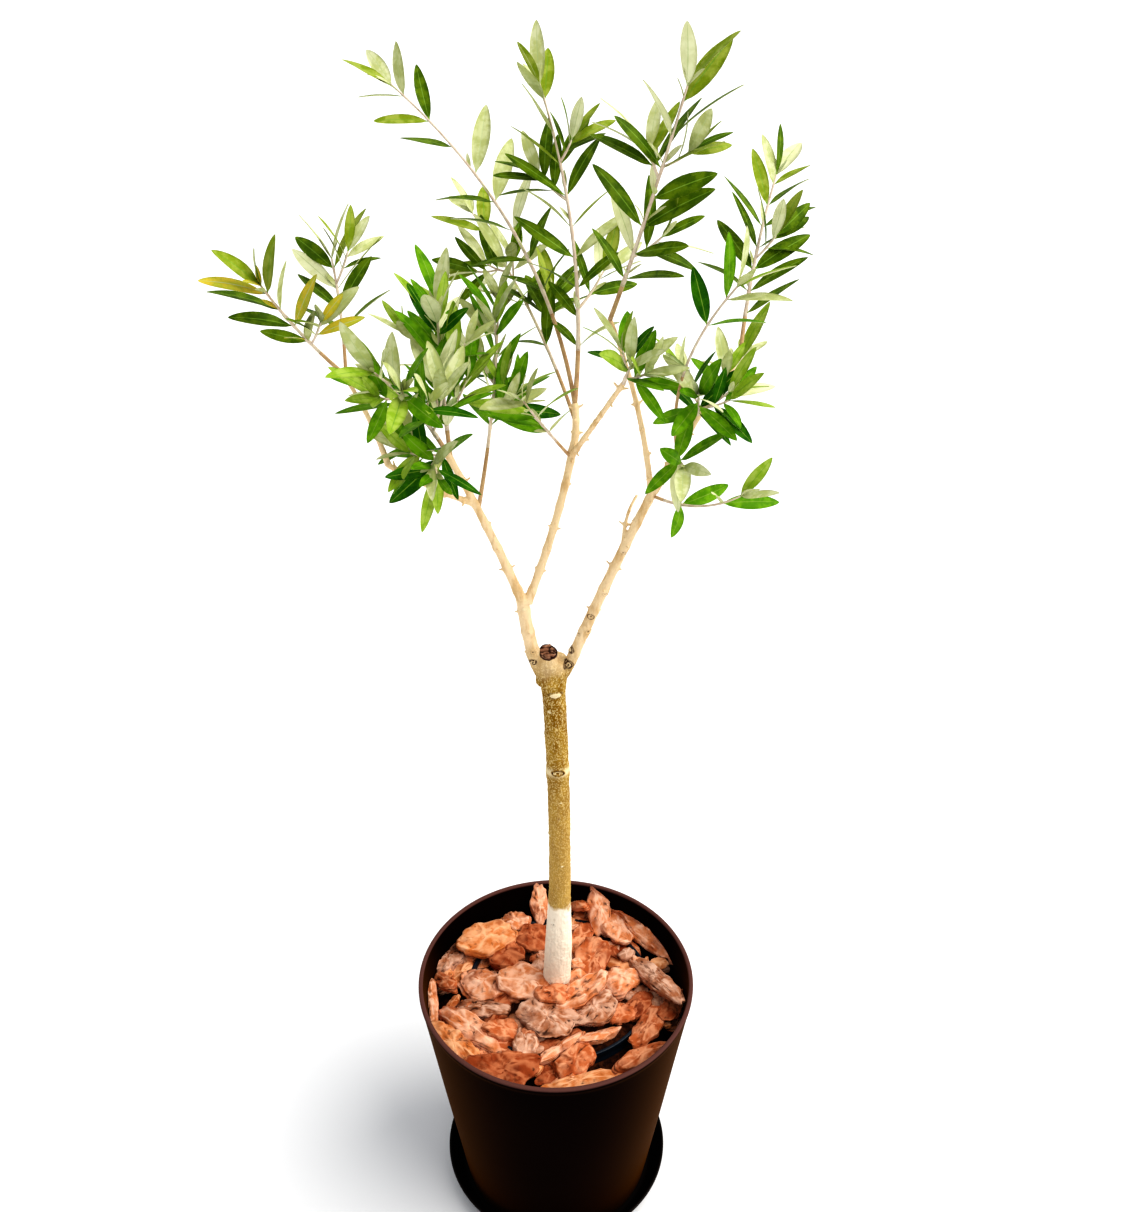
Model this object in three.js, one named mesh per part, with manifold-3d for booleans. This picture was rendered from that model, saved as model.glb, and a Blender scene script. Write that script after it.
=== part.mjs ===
// Young olive tree in a round plastic pot, in millimetres, +Z up.
// The origin is the centre of the saucer's flat underside; -Y is the front.
// Limbs are smooth curves with a taper. Each leaf mass grows by a seeded rule
// from one stem, in crossed pairs, and keeps clear of every other solid.
import * as THREE from "three";
import { mergeVertices } from "three/addons/utils/BufferGeometryUtils.js";
import Module from "manifold-3d";

const wasm = await Module();
wasm.setup();

// ---- Driving dimensions -------------------------------------------------

const GAP = 0.3; // clear space between touching solids

// Saucer
const SAUCER_R = 130;
const SAUCER_H = 26;
const SAUCER_FLOOR = 4;

// Outer pot: a thin tapered shell with a rounded lip
const POT_RIM_R = 151;
const POT_FOOT_R = 109;
const POT_TOP = 298.6;
const POT_WALL = 4;
const POT_FLOOR = 5;
const POT_BOTTOM = SAUCER_FLOOR + GAP;

// Nursery pot that holds the root ball, set a little behind the centre
const NURSERY_X = 4;
const NURSERY_Y = 18;
const NURSERY_RIM_R = 104;
const NURSERY_FOOT_R = 78;
const NURSERY_WALL = 2.5;
const NURSERY_BAND = 18;
const NURSERY_BOTTOM = POT_BOTTOM + POT_FLOOR + GAP;
const NURSERY_TOP = 264;

// Soil and bark
const GROUND = 250; // the soil's surface, where the trunk's flat cut stands
const BED_TOP = 262; // the bark's surface between the nuggets
const BED_DEPTH = 30; // how deep the bark fills the space round the nursery pot
const BARK_CLEAR = 0.8; // from the outer pot's wall
const NUGGET_THICK = 14;
const HEAP_RISE = 20; // the heap is this much higher at the trunk
const HEAP_SPREAD = 60;

// Trunk
const TRUNK_FOOT = [0, 16]; // near the middle of the nursery pot
const TRUNK_LEAN = [-3, -16, 454];
const TRUNK_SWAY = 6;
const TRUNK_R = 11.1;
const TRUNK_TOP = 704;
const STUB_R = 9.3;
const STUB_TOP = 716;
const STUB_SLOPE = 24; // degrees that the old saw cut faces forward
const STUB_AT = [-6, -4];
const FOOT_BULB = { extra: 4.2, z: 370, fade: 22 }; // the pale, thicker foot
const ROOT_FLARE = { extra: 2.6, fade: 12 };
const LEAF_RING = { extra: 0.9, z: 570, half: 7 }; // an old leaf scar all round
const FORK_SWELL = { extra: 4.4, z: 662 };
const TRUNK_WAVE = { share: 0.03, z: 60 }; // how far the section is off round
const TRUNK_SIDES = 10;
const LIMB_SIDES = 6;
const COLLAR_FLARE = 0.18; // a limb is this much thicker where it leaves its parent

// Foliage
const LIGHT = new THREE.Vector3(0, -0.5, 0.87).normalize(); // blades turn this way
const GOLDEN = 137.5; // degrees between side twigs round a stem
const TWIG_TIP = 1.4;
const LEAF_THICK = 1.4;
const LEAF_WIDTH = 0.22; // share of its length, plus a draw up to LEAF_WIDER
const LEAF_WIDER = 0.07;
const LEAF_CURL = 0.03; // sag at the tip as a share of its length, plus a draw
const LEAF_CURLIER = 0.14;
const LEAF_LOSS = 0.08; // share of leaves that have dropped
const LEAF_FOLD = 0.07; // depth of the fold along the midrib, as a share of width
const LEAF_STATIONS = [0.28, 0.72]; // shares of its length where a blade has its corners
const LEAF_CLEAR = 0.4; // added all round a leaf for the test against its neighbours
const CROSSING = 1; // cubic millimetres that two blades of a mass may share at the root
const STEM_STEPS = 5;
const STEM_EXTRA = 0.2; // added to a three-sided stem, which is thin across its flats
const TWIG_SPREAD = 48; // degrees between a side twig and its stem
const TWIG_LIFT = 0.25; // how much a side twig turns up
const TWIG_LEAF = 0.92; // size of a side twig's leaves against the stem's

// How wide each seeded draw swings: degrees for turns, shares for sizes
const SWING = {
  pair: 36, leaf: 24, size: 0.3, spread: 0.4, roll: 70, thick: 0.2,
  tip: 30, tipSize: 0.4, tipSpread: 16, twig: 40, twigSpread: 20, twigSize: 0.3,
};

// ---- Limbs ----------------------------------------------------------------

// Each limb starts at a station of its parent (0 foot, 1 tip), moved by
// offset, and ends at start + reach. bow pushes its middle sideways.
const limbs = {};

function arc(start, reach, bow) {
  return (t) => new THREE.Vector3(
    start.x + reach[0] * t + bow[0] * 4 * t * (1 - t),
    start.y + reach[1] * t + bow[1] * 4 * t * (1 - t),
    start.z + reach[2] * t + bow[2] * 4 * t * (1 - t),
  );
}

function limb(name, parent, at, reach, bow, base, tip, offset = [0, 0, 0]) {
  const start = limbs[parent].path(at).add(new THREE.Vector3(...offset));
  const radius = (t) => (base + (tip - base) * t) / 2;
  limbs[name] = { name, parent, at, path: arc(start, reach, bow), reach, radius };
}

// Trunk radius at a height: a straight stem, a thick foot with a root flare,
// one old leaf ring, and a swelling under the fork
function girth(z) {
  const bulb = FOOT_BULB.extra / (1 + Math.exp((z - FOOT_BULB.z) / FOOT_BULB.fade));
  const flare = ROOT_FLARE.extra * Math.exp((GROUND - z) / ROOT_FLARE.fade);
  const ring = LEAF_RING.extra * Math.exp(-(((z - LEAF_RING.z) / LEAF_RING.half) ** 2));
  const swell = FORK_SWELL.extra * THREE.MathUtils.smoothstep(z, FORK_SWELL.z, TRUNK_TOP);
  return TRUNK_R + bulb + flare + ring + swell;
}

const foot = new THREE.Vector3(...TRUNK_FOOT, GROUND + GAP);
const trunkRadius = (t) => girth(foot.z + TRUNK_LEAN[2] * t);
limbs.trunk = { name: "trunk", path: arc(foot, TRUNK_LEAN, [TRUNK_SWAY, 0, 0]), radius: trunkRadius };
limb("bough_left_foot", "trunk", 0.94, [-18.7, -6, 91], [-3, 1, 0], 13.4, 11, [-8, -1, 0]);
limb("bough_left", "bough_left_foot", 1, [-59, -34, 158], [1, 3, 1], 9, 5.6);
limb("bough_left_low", "bough_left", 0.66, [-65, -32, 47], [-1, 0, -2], 5.2, 4.4);
limb("bough_left_outer", "bough_left_low", 1, [-27, -10, 78], [2, 1, 1], 4.4, 3.6);
limb("bough_middle", "bough_left_foot", 1, [40, 26, 133], [3, 0, -1], 7.6, 6.8, [4, 0, 0]);
limb("bough_middle_top", "bough_middle", 1, [2, 8, 42], [2, -1, 0], 6.8, 5.6);
limb("bough_middle_right", "bough_middle", 0.98, [39, -77, 89], [0, 0, 0], 5.2, 4);
limb("bough_right_foot", "trunk", 0.94, [77.8, -22, 205.8], [-1.5, 0, 2], 11.4, 7.4, [7.5, 0, 0]);
limb("bough_right", "bough_right_foot", 1, [34, -8, 72], [1, 0, 0], 7, 5.6);
limb("bough_right_outer", "bough_right", 1, [33, 25, 46], [3, -3, -1], 4.8, 3.6);
limb("bough_right_inner", "bough_right_foot", 0.98, [-38, -8, 150], [5, 6, 1], 5.2, 3.6);
limb("twig_right", "bough_right_foot", 0.72, [11, 16, 43], [-4, -3, 3], 3.8, 2.4);

// ---- Leaf masses ------------------------------------------------------------

// A mass is one stem with leaf pairs from the share "first" of its length on,
// and side twigs that carry pairs of their own. twist turns the first pair, and
// turn is the angle from each pair to the next. The seeds run in order.
const masses = [];
const SEED_STEP = 100;
const OPEN_SHOOT = { leaf: 56, spread: 46, twist: 60, turn: 10, twigPairs: 2 };
const DENSE_SHOOT = { leaf: 54, spread: 42, twist: 45, turn: 90, twigs: 3, twig: 36, twigPairs: 2 };
const WIDE_SPRAY = { leaf: 50, spread: 58, twist: 30, turn: 90, twigPairs: 2 };

function mass(name, parent, at, reach, bow, plan) {
  const start = limbs[parent].path(at);
  const radius = (t) => (plan.base + (TWIG_TIP - plan.base) * t) / 2;
  const seed = SEED_STEP * (masses.length + 1);
  masses.push({ name, parent, at, reach, path: arc(start, reach, bow), radius, seed, ...plan });
}

mass("leaves_left_tip", "bough_left_outer", 1, [-43, -40, 74], [-4, 3, -1],
  { ...OPEN_SHOOT, base: 3.2, first: 0.3, pairs: 4, leaf: 50 });
mass("leaves_left_inner", "bough_left_outer", 0.95, [-10, 39, 80], [2, -1, 1],
  { ...OPEN_SHOOT, base: 2.8, first: 0.3, pairs: 4, leaf: 50 });
mass("leaves_left_low", "bough_left", 1, [-8, -33, 0], [-1, 0, -1],
  { ...WIDE_SPRAY, base: 3.5, first: 0.1, pairs: 4, twigs: 2, twig: 25 });
mass("leaves_left_front", "bough_left", 0.97, [-42, -74, 91], [3, 2, 3],
  { ...DENSE_SHOOT, base: 4, first: 0.15, pairs: 5, twist: 50 });
mass("leaves_left_middle", "bough_left", 0.94, [-9, 39, 119], [0, -12, 4],
  { ...DENSE_SHOOT, base: 4, first: 0.15, pairs: 7 });
mass("leaves_left_back", "bough_left", 0.62, [15, 121, 146], [3, 4, -4],
  { ...DENSE_SHOOT, base: 4, first: 0.35, pairs: 6 });
mass("leaves_tall_left", "bough_middle_top", 0.98, [-157, 129, 240], [27, -3, 10],
  { ...OPEN_SHOOT, base: 4, first: 0.28, pairs: 8 });
mass("leaves_back_left", "bough_middle_top", 0.6, [-93, 143, 149], [7, 2, 2],
  { ...DENSE_SHOOT, base: 3.5, first: 0.25, pairs: 4, twist: 40, twigs: 2 });
mass("leaves_top", "bough_middle_top", 1, [-28, 24, 246], [13, 2, 1],
  { ...OPEN_SHOOT, base: 4.5, first: 0.14, pairs: 9, leaf: 52, twigs: 2, twig: 45 });
mass("leaves_middle_low", "bough_middle", 0.97, [-39, -49, 67], [-3, 4, 1],
  { ...OPEN_SHOOT, base: 3, first: 0.35, pairs: 5 });
mass("leaves_middle_right", "bough_middle_right", 1, [4, -10, 16], [0, 0, 0],
  { ...WIDE_SPRAY, base: 3.5, first: 0.1, pairs: 2, twigs: 2, twig: 25 });
mass("leaves_upper_right", "bough_right_inner", 1, [41, -100, 171], [1, -1, -1],
  { ...OPEN_SHOOT, base: 3.8, first: 0.15, pairs: 7, leaf: 52, twigs: 2, twig: 30 });
mass("leaves_far_right", "bough_right_outer", 1, [30, 75, 120], [-3, 0, 1],
  { ...OPEN_SHOOT, base: 3.5, first: 0.12, pairs: 7 });
mass("leaves_right_front", "bough_right", 0.5, [28, -74, 151], [-16, 0, 3],
  { ...OPEN_SHOOT, base: 3, first: 0.7, pairs: 2, leaf: 50 });
mass("leaves_right", "bough_right", 0.95, [-4, -30, 26], [0, 0, 0],
  { ...WIDE_SPRAY, base: 3, first: 0.1, pairs: 5, twigs: 2, twig: 35 });
mass("leaves_right_inner", "bough_right", 0.4, [4, -42, 12], [0, 0, 2],
  { ...WIDE_SPRAY, base: 3, first: 0.25, pairs: 3 });
mass("leaves_right_spur", "bough_right_outer", 0.35, [25, 45, 15], [0, 0, 0],
  { ...WIDE_SPRAY, base: 2.5, first: 0.4, pairs: 2 });
mass("leaves_right_low", "bough_right_foot", 0.98, [66, -54, 22], [2, -1, -9],
  { ...WIDE_SPRAY, base: 3, first: 0.1, pairs: 2 });

// ---- Seeded dice and frames -------------------------------------------------

function dice(seed) {
  let state = seed;
  return () => {
    state = (state + 0x6d2b79f5) | 0;
    let t = Math.imul(state ^ (state >>> 15), state | 1);
    t ^= t + Math.imul(t ^ (t >>> 7), t | 61);
    return ((t ^ (t >>> 14)) >>> 0) / 4294967296;
  };
}

const swing = (roll, width) => (roll() - 0.5) * width;
const radians = THREE.MathUtils.degToRad;

function heading(path, t) {
  const step = 1e-3;
  const ahead = path(Math.min(t + step, 1));
  return ahead.sub(path(Math.max(t - step, 0))).normalize();
}

// Two directions square to an axis: the first leans to the front
function across(axis) {
  const front = new THREE.Vector3(0, -1, 0);
  if (Math.abs(axis.y) > 0.95) front.set(0, 0, 1);
  const first = front.addScaledVector(axis, -axis.dot(front)).normalize();
  return [first, new THREE.Vector3().crossVectors(axis, first)];
}

function outward(axis, angle) {
  const [first, second] = across(axis);
  return first.multiplyScalar(Math.cos(angle)).addScaledVector(second, Math.sin(angle));
}

// ---- Solids -------------------------------------------------------------------

function solidOf(geometry) {
  const bare = geometry.index ? geometry : mergeVertices(geometry);
  return new wasm.Manifold(new wasm.Mesh({
    numProp: 3,
    vertProperties: new Float32Array(bare.attributes.position.array),
    triVerts: new Uint32Array(bare.index.array),
  }));
}

function geometryOf(solid) {
  const mesh = solid.getMesh();
  const geometry = new THREE.BufferGeometry();
  geometry.setAttribute("position", new THREE.BufferAttribute(mesh.vertProperties, 3));
  geometry.setIndex(new THREE.BufferAttribute(mesh.triVerts, 1));
  return geometry;
}

function indexed(points, faces) {
  const geometry = new THREE.BufferGeometry();
  geometry.setFromPoints(points);
  geometry.setIndex(faces);
  return geometry;
}

function joined(solids) {
  return solids.reduce((all, next) => all.add(next));
}

// The largest body of a join: loose scraps and sealed hollows are left out
function wholeOf(solid) {
  const bodies = solid.decompose();
  return bodies.reduce((big, next) => (next.volume() > big.volume() ? next : big));
}

// A closed skin over rings of equal count, the first and last ring capped
function skin(rings) {
  const count = rings[0].length;
  const faces = [];
  for (let r = 0; r < rings.length - 1; r += 1) {
    for (let i = 0; i < count; i += 1) {
      const a = r * count + i;
      const b = r * count + ((i + 1) % count);
      faces.push(a, b, b + count, a, b + count, a + count);
    }
  }
  const last = (rings.length - 1) * count;
  for (let i = 1; i < count - 1; i += 1) {
    faces.push(0, i + 1, i, last, last + i, last + i + 1);
  }
  return solidOf(indexed(rings.flat(), faces));
}

// A round limb along a path between two stations, with flat ends square to it
function tube(path, from, to, radiusAt, sides, steps) {
  const rings = [];
  for (let k = 0; k <= steps; k += 1) {
    const t = from + ((to - from) * k) / steps;
    const centre = path(t);
    const axis = heading(path, t);
    const ring = [];
    for (let i = 0; i < sides; i += 1) {
      const out = outward(axis, (i / sides) * 2 * Math.PI);
      ring.push(centre.clone().addScaledVector(out, radiusAt(t)));
    }
    rings.push(ring);
  }
  return skin(rings);
}

function turned(profile, x = 0, y = 0, segments = 24) {
  const points = profile.map(([r, z]) => new THREE.Vector2(r, z));
  const geometry = new THREE.LatheGeometry(points, segments);
  geometry.deleteAttribute("normal");
  geometry.deleteAttribute("uv");
  geometry.rotateX(Math.PI / 2);
  geometry.translate(x, y, 0);
  return solidOf(mergeVertices(geometry, 1e-3));
}

// ---- Limb solids ----------------------------------------------------------------

const lengthOf = (item) => new THREE.Vector3(...item.reach).length();

function distanceTo(point, item) {
  const steps = 150;
  let best = Infinity;
  for (let k = 0; k <= steps; k += 1) {
    best = Math.min(best, point.distanceTo(item.path(k / steps)) - item.radius(k / steps));
  }
  return best;
}

// A child's own solid starts where it is clear of its parent and of the
// limbs beside it. Up to there it is a collar that belongs to the parent.
function collarEnd(child, family) {
  const others = [limbs[child.parent], ...family.filter((item) => item !== child)];
  const step = 1 / lengthOf(child);
  let t = 2 * step;
  const room = () => child.radius(t) + 4 * GAP;
  while (t < 0.6 && others.some((item) => distanceTo(child.path(t), item) < room())) {
    t += step;
  }
  return t;
}

const growing = () => [...Object.values(limbs).filter((item) => item.parent), ...masses];

function settleCollars() {
  for (const child of growing()) {
    const family = growing().filter((item) => item.parent === child.parent);
    child.collar = collarEnd(child, family);
  }
  for (const child of growing()) {
    child.start = child.collar + GAP / lengthOf(child);
  }
}

function collars(parent) {
  return growing().filter((item) => item.parent === parent).map((child) => {
    const flare = (t) => child.radius(t) * (1 + COLLAR_FLARE * (1 - t / child.collar));
    return tube(child.path, 0, child.collar, flare, LIMB_SIDES, 1);
  });
}

function limbSolid(item) {
  return joined([tube(item.path, item.start, 1, item.radius, LIMB_SIDES, 4), ...collars(item.name)]);
}

// ---- Trunk ------------------------------------------------------------------------

const TRUNK_LEVELS = [0, 10, 30, 60, 90, 120, 160, 230, 308, 320, 332, 400, 425, 440];

function trunkColumn() {
  const base = GROUND + GAP;
  const levels = [...TRUNK_LEVELS.map((rise) => base + rise), TRUNK_TOP];
  return skin(levels.map((z) => {
    const centre = limbs.trunk.path((z - foot.z) / TRUNK_LEAN[2]);
    const ring = [];
    for (let i = 0; i < TRUNK_SIDES; i += 1) {
      const turn = (i / TRUNK_SIDES) * 2 * Math.PI;
      const r = girth(z) * (1 + TRUNK_WAVE.share * Math.sin(2 * turn + z / TRUNK_WAVE.z));
      ring.push(new THREE.Vector3(centre.x + r * Math.cos(turn), centre.y + r * Math.sin(turn), z));
    }
    return ring;
  }));
}

// The sawn-off leader between the two boughs, cut at a slope
function trunkStub() {
  const sides = 8;
  const slope = Math.tan(radians(STUB_SLOPE));
  const levels = [[TRUNK_TOP - 20, 1.2, 0], [TRUNK_TOP, 1.1, 0], [STUB_TOP, 1, slope]];
  const rings = levels.map(([z, grow, tilt]) => {
    const ring = [];
    for (let i = 0; i < sides; i += 1) {
      const turn = (i / sides) * 2 * Math.PI;
      const x = STUB_R * grow * Math.cos(turn);
      const y = STUB_R * grow * Math.sin(turn);
      ring.push(new THREE.Vector3(STUB_AT[0] + x, STUB_AT[1] + y, z + y * tilt));
    }
    return ring;
  });
  return skin(rings);
}

function trunkSolid() {
  return joined([trunkColumn(), trunkStub(), ...collars("trunk")]);
}

// ---- Pot, saucer and soil -----------------------------------------------------------

const potOuter = (z) => {
  const share = (z - POT_BOTTOM) / (POT_TOP - POT_BOTTOM);
  return POT_FOOT_R + (POT_RIM_R - POT_FOOT_R) * share;
};
const potInner = (z) => potOuter(z) - POT_WALL;

function saucerSolid() {
  return turned([
    [0, 0], [112, 0], [117, 1.5], [127, 20], [SAUCER_R, 23.5], [SAUCER_R, SAUCER_H],
    [127.6, SAUCER_H], [124.4, 21], [115.6, 5.5], [113, SAUCER_FLOOR], [0, SAUCER_FLOOR],
  ]);
}

function potSolid() {
  const floor = POT_BOTTOM + POT_FLOOR;
  return turned([
    [0, POT_BOTTOM], [POT_FOOT_R - 4, POT_BOTTOM], [potOuter(POT_BOTTOM + 4), POT_BOTTOM + 4],
    [potOuter(150), 150], [potOuter(POT_TOP - 6), POT_TOP - 6], [POT_RIM_R, POT_TOP - 2],
    [POT_RIM_R - 1.3, POT_TOP], [POT_RIM_R - 3.4, POT_TOP], [POT_RIM_R - 4.8, POT_TOP - 2],
    [potInner(150), 150], [potInner(floor + 3), floor + 3], [potInner(floor) - 4, floor], [0, floor],
  ], 0, 0, 32);
}

const nurseryOuter = (z) => {
  const share = (z - NURSERY_BOTTOM) / (NURSERY_TOP - NURSERY_BOTTOM);
  return NURSERY_FOOT_R + (NURSERY_RIM_R - 2 - NURSERY_FOOT_R) * share;
};
const nurseryInner = (z) => nurseryOuter(z) - NURSERY_WALL;

// The nursery pot's profile; grow thickens it all round for a clear cut
function nurseryProfile(grow) {
  const band = NURSERY_TOP - NURSERY_BAND;
  const floor = NURSERY_BOTTOM + NURSERY_WALL;
  return [
    [0, NURSERY_BOTTOM - grow], [NURSERY_FOOT_R + grow, NURSERY_BOTTOM - grow],
    [nurseryOuter(band) + grow, band - grow], [NURSERY_RIM_R - 1 + grow, band - grow],
    [NURSERY_RIM_R + grow, NURSERY_TOP - 2], [NURSERY_RIM_R - 1.5 + grow, NURSERY_TOP + grow],
    [NURSERY_RIM_R - 4 - grow, NURSERY_TOP + grow], [nurseryInner(band) - grow, band],
    [nurseryInner(floor) - grow, floor + grow], [0, floor + grow],
  ];
}

const nurserySolid = () => turned(nurseryProfile(0), NURSERY_X, NURSERY_Y);

function soilSolid() {
  const floor = NURSERY_BOTTOM + NURSERY_WALL + GAP;
  const band = NURSERY_TOP - NURSERY_BAND;
  return turned([
    [0, floor], [nurseryInner(floor) - 2 * GAP, floor], [nurseryInner(band) - 2 * GAP, band],
    [nurseryInner(band) - 2 * GAP, GROUND], [0, GROUND],
  ], NURSERY_X, NURSERY_Y);
}

// ---- Bark nuggets -------------------------------------------------------------------

// Nuggets by place, length, width and heading in degrees, lowest first.
// lean lifts the end that the heading points to, for those that prop on the wall.
const nuggets = [];

function nugget(x, y, length, width, turn, lean = 0) {
  nuggets.push({ x, y, length, width, turn, lean });
}

nugget(-50, 115, 32, 28, 0);
nugget(-20, 132, 45, 18, 95, 45);
nugget(26, 134, 45, 17, -65, 30);
nugget(-126, 58, 44, 34, 50);
nugget(-60, 60, 45, 34, -30);
nugget(128, -20, 44, 22, 60, -10);
nugget(-138, -12, 50, 14, 100, 10);
nugget(-109, -66, 60, 28, -45);
nugget(-125, 14, 46, 17, -55, 20);
nugget(-27, 86, 36, 38, 0);
nugget(30, 84, 46, 22, 82);
nugget(52, 124, 62, 24, 85, 30);
nugget(75, 105, 60, 44, -75);
nugget(92, -14, 38, 24, 63);
nugget(100, -44, 54, 25, 62);
nugget(90, -82, 62, 17, 37);
nugget(69, -27, 36, 34, 35);
nugget(73, 18, 40, 34, 13);
nugget(-81, -20, 52, 18, -10);
nugget(-56, -50, 38, 26, -25);
nugget(-32, -66, 38, 28, 90);
nugget(46, -59, 44, 14, 22);
nugget(21, -89, 38, 28, 35);
nugget(42, -29, 50, 40, 50);
nugget(41, 44, 66, 34, 77);
nugget(-82, 78, 64, 44, 25);
nugget(-80, 13, 46, 42, 0);
nugget(-9, -42, 58, 38, -18);
nugget(-54, -100, 60, 36, 5);
nugget(-93, -43, 90, 24, -40);
nugget(26, -114, 86, 19, 16);
nugget(6, -74, 52, 12, 35);
nugget(-2, -14, 40, 26, 10);
nugget(29, -8, 70, 26, 40);
nugget(-36, 8, 60, 54, 0);
nugget(108, 98, 90, 30, -58, -8);
nugget(112, 14, 108, 20, -60, 14);

const bedHeight = (x, y) => BED_TOP + HEAP_RISE * Math.exp(-(x * x + y * y) / HEAP_SPREAD ** 2);

// Each nugget lies on the bed or on the nuggets under it
function settleNuggets() {
  nuggets.forEach((item, i) => {
    item.thick = NUGGET_THICK * (0.7 + 0.3 * Math.min(1, item.width / 40));
    item.z = bedHeight(item.x, item.y) + item.thick * 0.2;
    for (const under of nuggets.slice(0, i)) {
      const apart = Math.hypot(item.x - under.x, item.y - under.y);
      if (apart < 0.42 * (item.width + under.width)) {
        item.z = Math.max(item.z, under.z + under.thick * 0.5);
      }
    }
  });
}

function nuggetSolid(item, index) {
  const roll = dice(500 + index);
  const sides = 5;
  const rings = [[-0.5, 1], [0.5, 0.75]].map(([level, size]) => {
    const ring = [];
    for (let i = 0; i < sides; i += 1) {
      const turn = (i / sides) * 2 * Math.PI;
      const rough = size * (1 + swing(roll, 0.2));
      ring.push(new THREE.Vector3(
        (item.length / 2) * rough * Math.cos(turn),
        (item.width / 2) * rough * Math.sin(turn),
        item.thick * level,
      ));
    }
    return ring;
  });
  const turn = new THREE.Euler(
    radians(swing(roll, 16)),
    radians(-item.lean + swing(roll, 12)),
    radians(item.turn),
    "ZYX",
  );
  const place = new THREE.Matrix4().makeRotationFromEuler(turn);
  const lift = (Math.sin(radians(Math.abs(item.lean))) * item.length) / 2;
  place.setPosition(item.x, item.y, item.z + lift * 0.8);
  return skin(rings.map((ring) => ring.map((point) => point.applyMatrix4(place))));
}

// All the space that the bark may fill: inside the outer pot, clear of its wall
function barkSpace() {
  const low = BED_TOP - BED_DEPTH;
  const high = POT_TOP + 40;
  return turned([
    [0, low], [potInner(low) - BARK_CLEAR, low], [potInner(POT_TOP - 2) - 2, POT_TOP - 2],
    [potInner(POT_TOP - 2) - 2, high], [0, high],
  ], 0, 0, 16);
}

function barkSolid(trunkClear) {
  settleNuggets();
  const bed = turned([
    [0, BED_TOP - BED_DEPTH], [150, BED_TOP - BED_DEPTH], [150, BED_TOP - 8], [105, BED_TOP],
    [60, bedHeight(60, 0)], [30, bedHeight(30, 0)], [0, bedHeight(0, 0)],
  ], 0, 0, 12);
  const heap = joined([bed, ...nuggets.map(nuggetSolid)]).intersect(barkSpace());
  const inner = [
    [0, 0], [nurseryOuter(GROUND) - 1, 0], [nurseryOuter(GROUND) - 1, GROUND + GAP], [0, GROUND + GAP],
  ];
  return wholeOf(heap
    .subtract(turned(nurseryProfile(GAP), NURSERY_X, NURSERY_Y))
    .subtract(turned(inner, NURSERY_X, NURSERY_Y))
    .subtract(trunkClear));
}

// A plain post a little wider than the trunk's foot, cut out of the bark
function trunkClearance() {
  const sides = 16;
  const rings = [0, 12, 30, 70].map((rise) => {
    const z = GROUND - 2 + rise;
    const centre = limbs.trunk.path((z - foot.z) / TRUNK_LEAN[2]);
    const ring = [];
    for (let i = 0; i < sides; i += 1) {
      const turn = (i / sides) * 2 * Math.PI;
      const r = (girth(z) * (1 + TRUNK_WAVE.share) + 2.5 * GAP) / Math.cos(Math.PI / sides);
      ring.push(new THREE.Vector3(centre.x + r * Math.cos(turn), centre.y + r * Math.sin(turn), z));
    }
    return ring;
  });
  return skin(rings);
}

// ---- Leaves -------------------------------------------------------------------------

// A blade at a point of a stem, spreading from its axis and turned to the light
function leafAt(root, axis, angle, spread, length, roll) {
  const out = outward(axis, angle);
  const along = axis.clone().multiplyScalar(Math.cos(spread)).addScaledVector(out, Math.sin(spread));
  along.normalize();
  const face = axis.clone().multiplyScalar(Math.sin(spread)).addScaledVector(out, -Math.cos(spread));
  const sky = LIGHT.clone().addScaledVector(along, -LIGHT.dot(along));
  face.normalize().multiplyScalar(0.3).addScaledVector(sky, 0.7).normalize();
  const tip = radians(swing(roll, SWING.roll));
  const side = new THREE.Vector3().crossVectors(along, face);
  face.multiplyScalar(Math.cos(tip)).addScaledVector(side, Math.sin(tip)).normalize();
  const width = length * (LEAF_WIDTH + LEAF_WIDER * roll());
  const curl = LEAF_CURL + LEAF_CURLIER * roll();
  return { root, along, face, length, width, curl };
}

// Half the blade's width at a share of its length
function halfWidth(leaf, share) {
  const along = Math.min(1, Math.max(0, (share - 0.06) / 0.94));
  return (leaf.width / 2) * Math.sin(Math.PI * along ** 0.95) ** 0.65;
}

function leafSolid(leaf, extra = 0) {
  const { along, face } = leaf;
  const side = new THREE.Vector3().crossVectors(along, face);
  const at = (share, aside, up) => leaf.root.clone()
    .addScaledVector(along, leaf.length * share)
    .addScaledVector(face, up - leaf.curl * leaf.length * share * share)
    .addScaledVector(side, aside);
  const half = leaf.thick / 2 + extra;
  const fold = leaf.width * LEAF_FOLD;
  const wide = LEAF_STATIONS.map((share) => halfWidth(leaf, share) + extra);
  const [near, far] = LEAF_STATIONS;
  const edge = [
    at(-0.02, 0, 0), at(near, wide[0], fold), at(far, wide[1], fold),
    at(1 + extra / leaf.length, 0, 0), at(far, -wide[1], fold), at(near, -wide[0], fold),
  ];
  const points = [...edge, at(0.45, 0, half), at(0.45, 0, -half)];
  const faces = [];
  for (let i = 0; i < edge.length; i += 1) {
    const next = (i + 1) % edge.length;
    faces.push(i, next, 6, next, i, 7);
  }
  return solidOf(indexed(points, faces));
}

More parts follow.
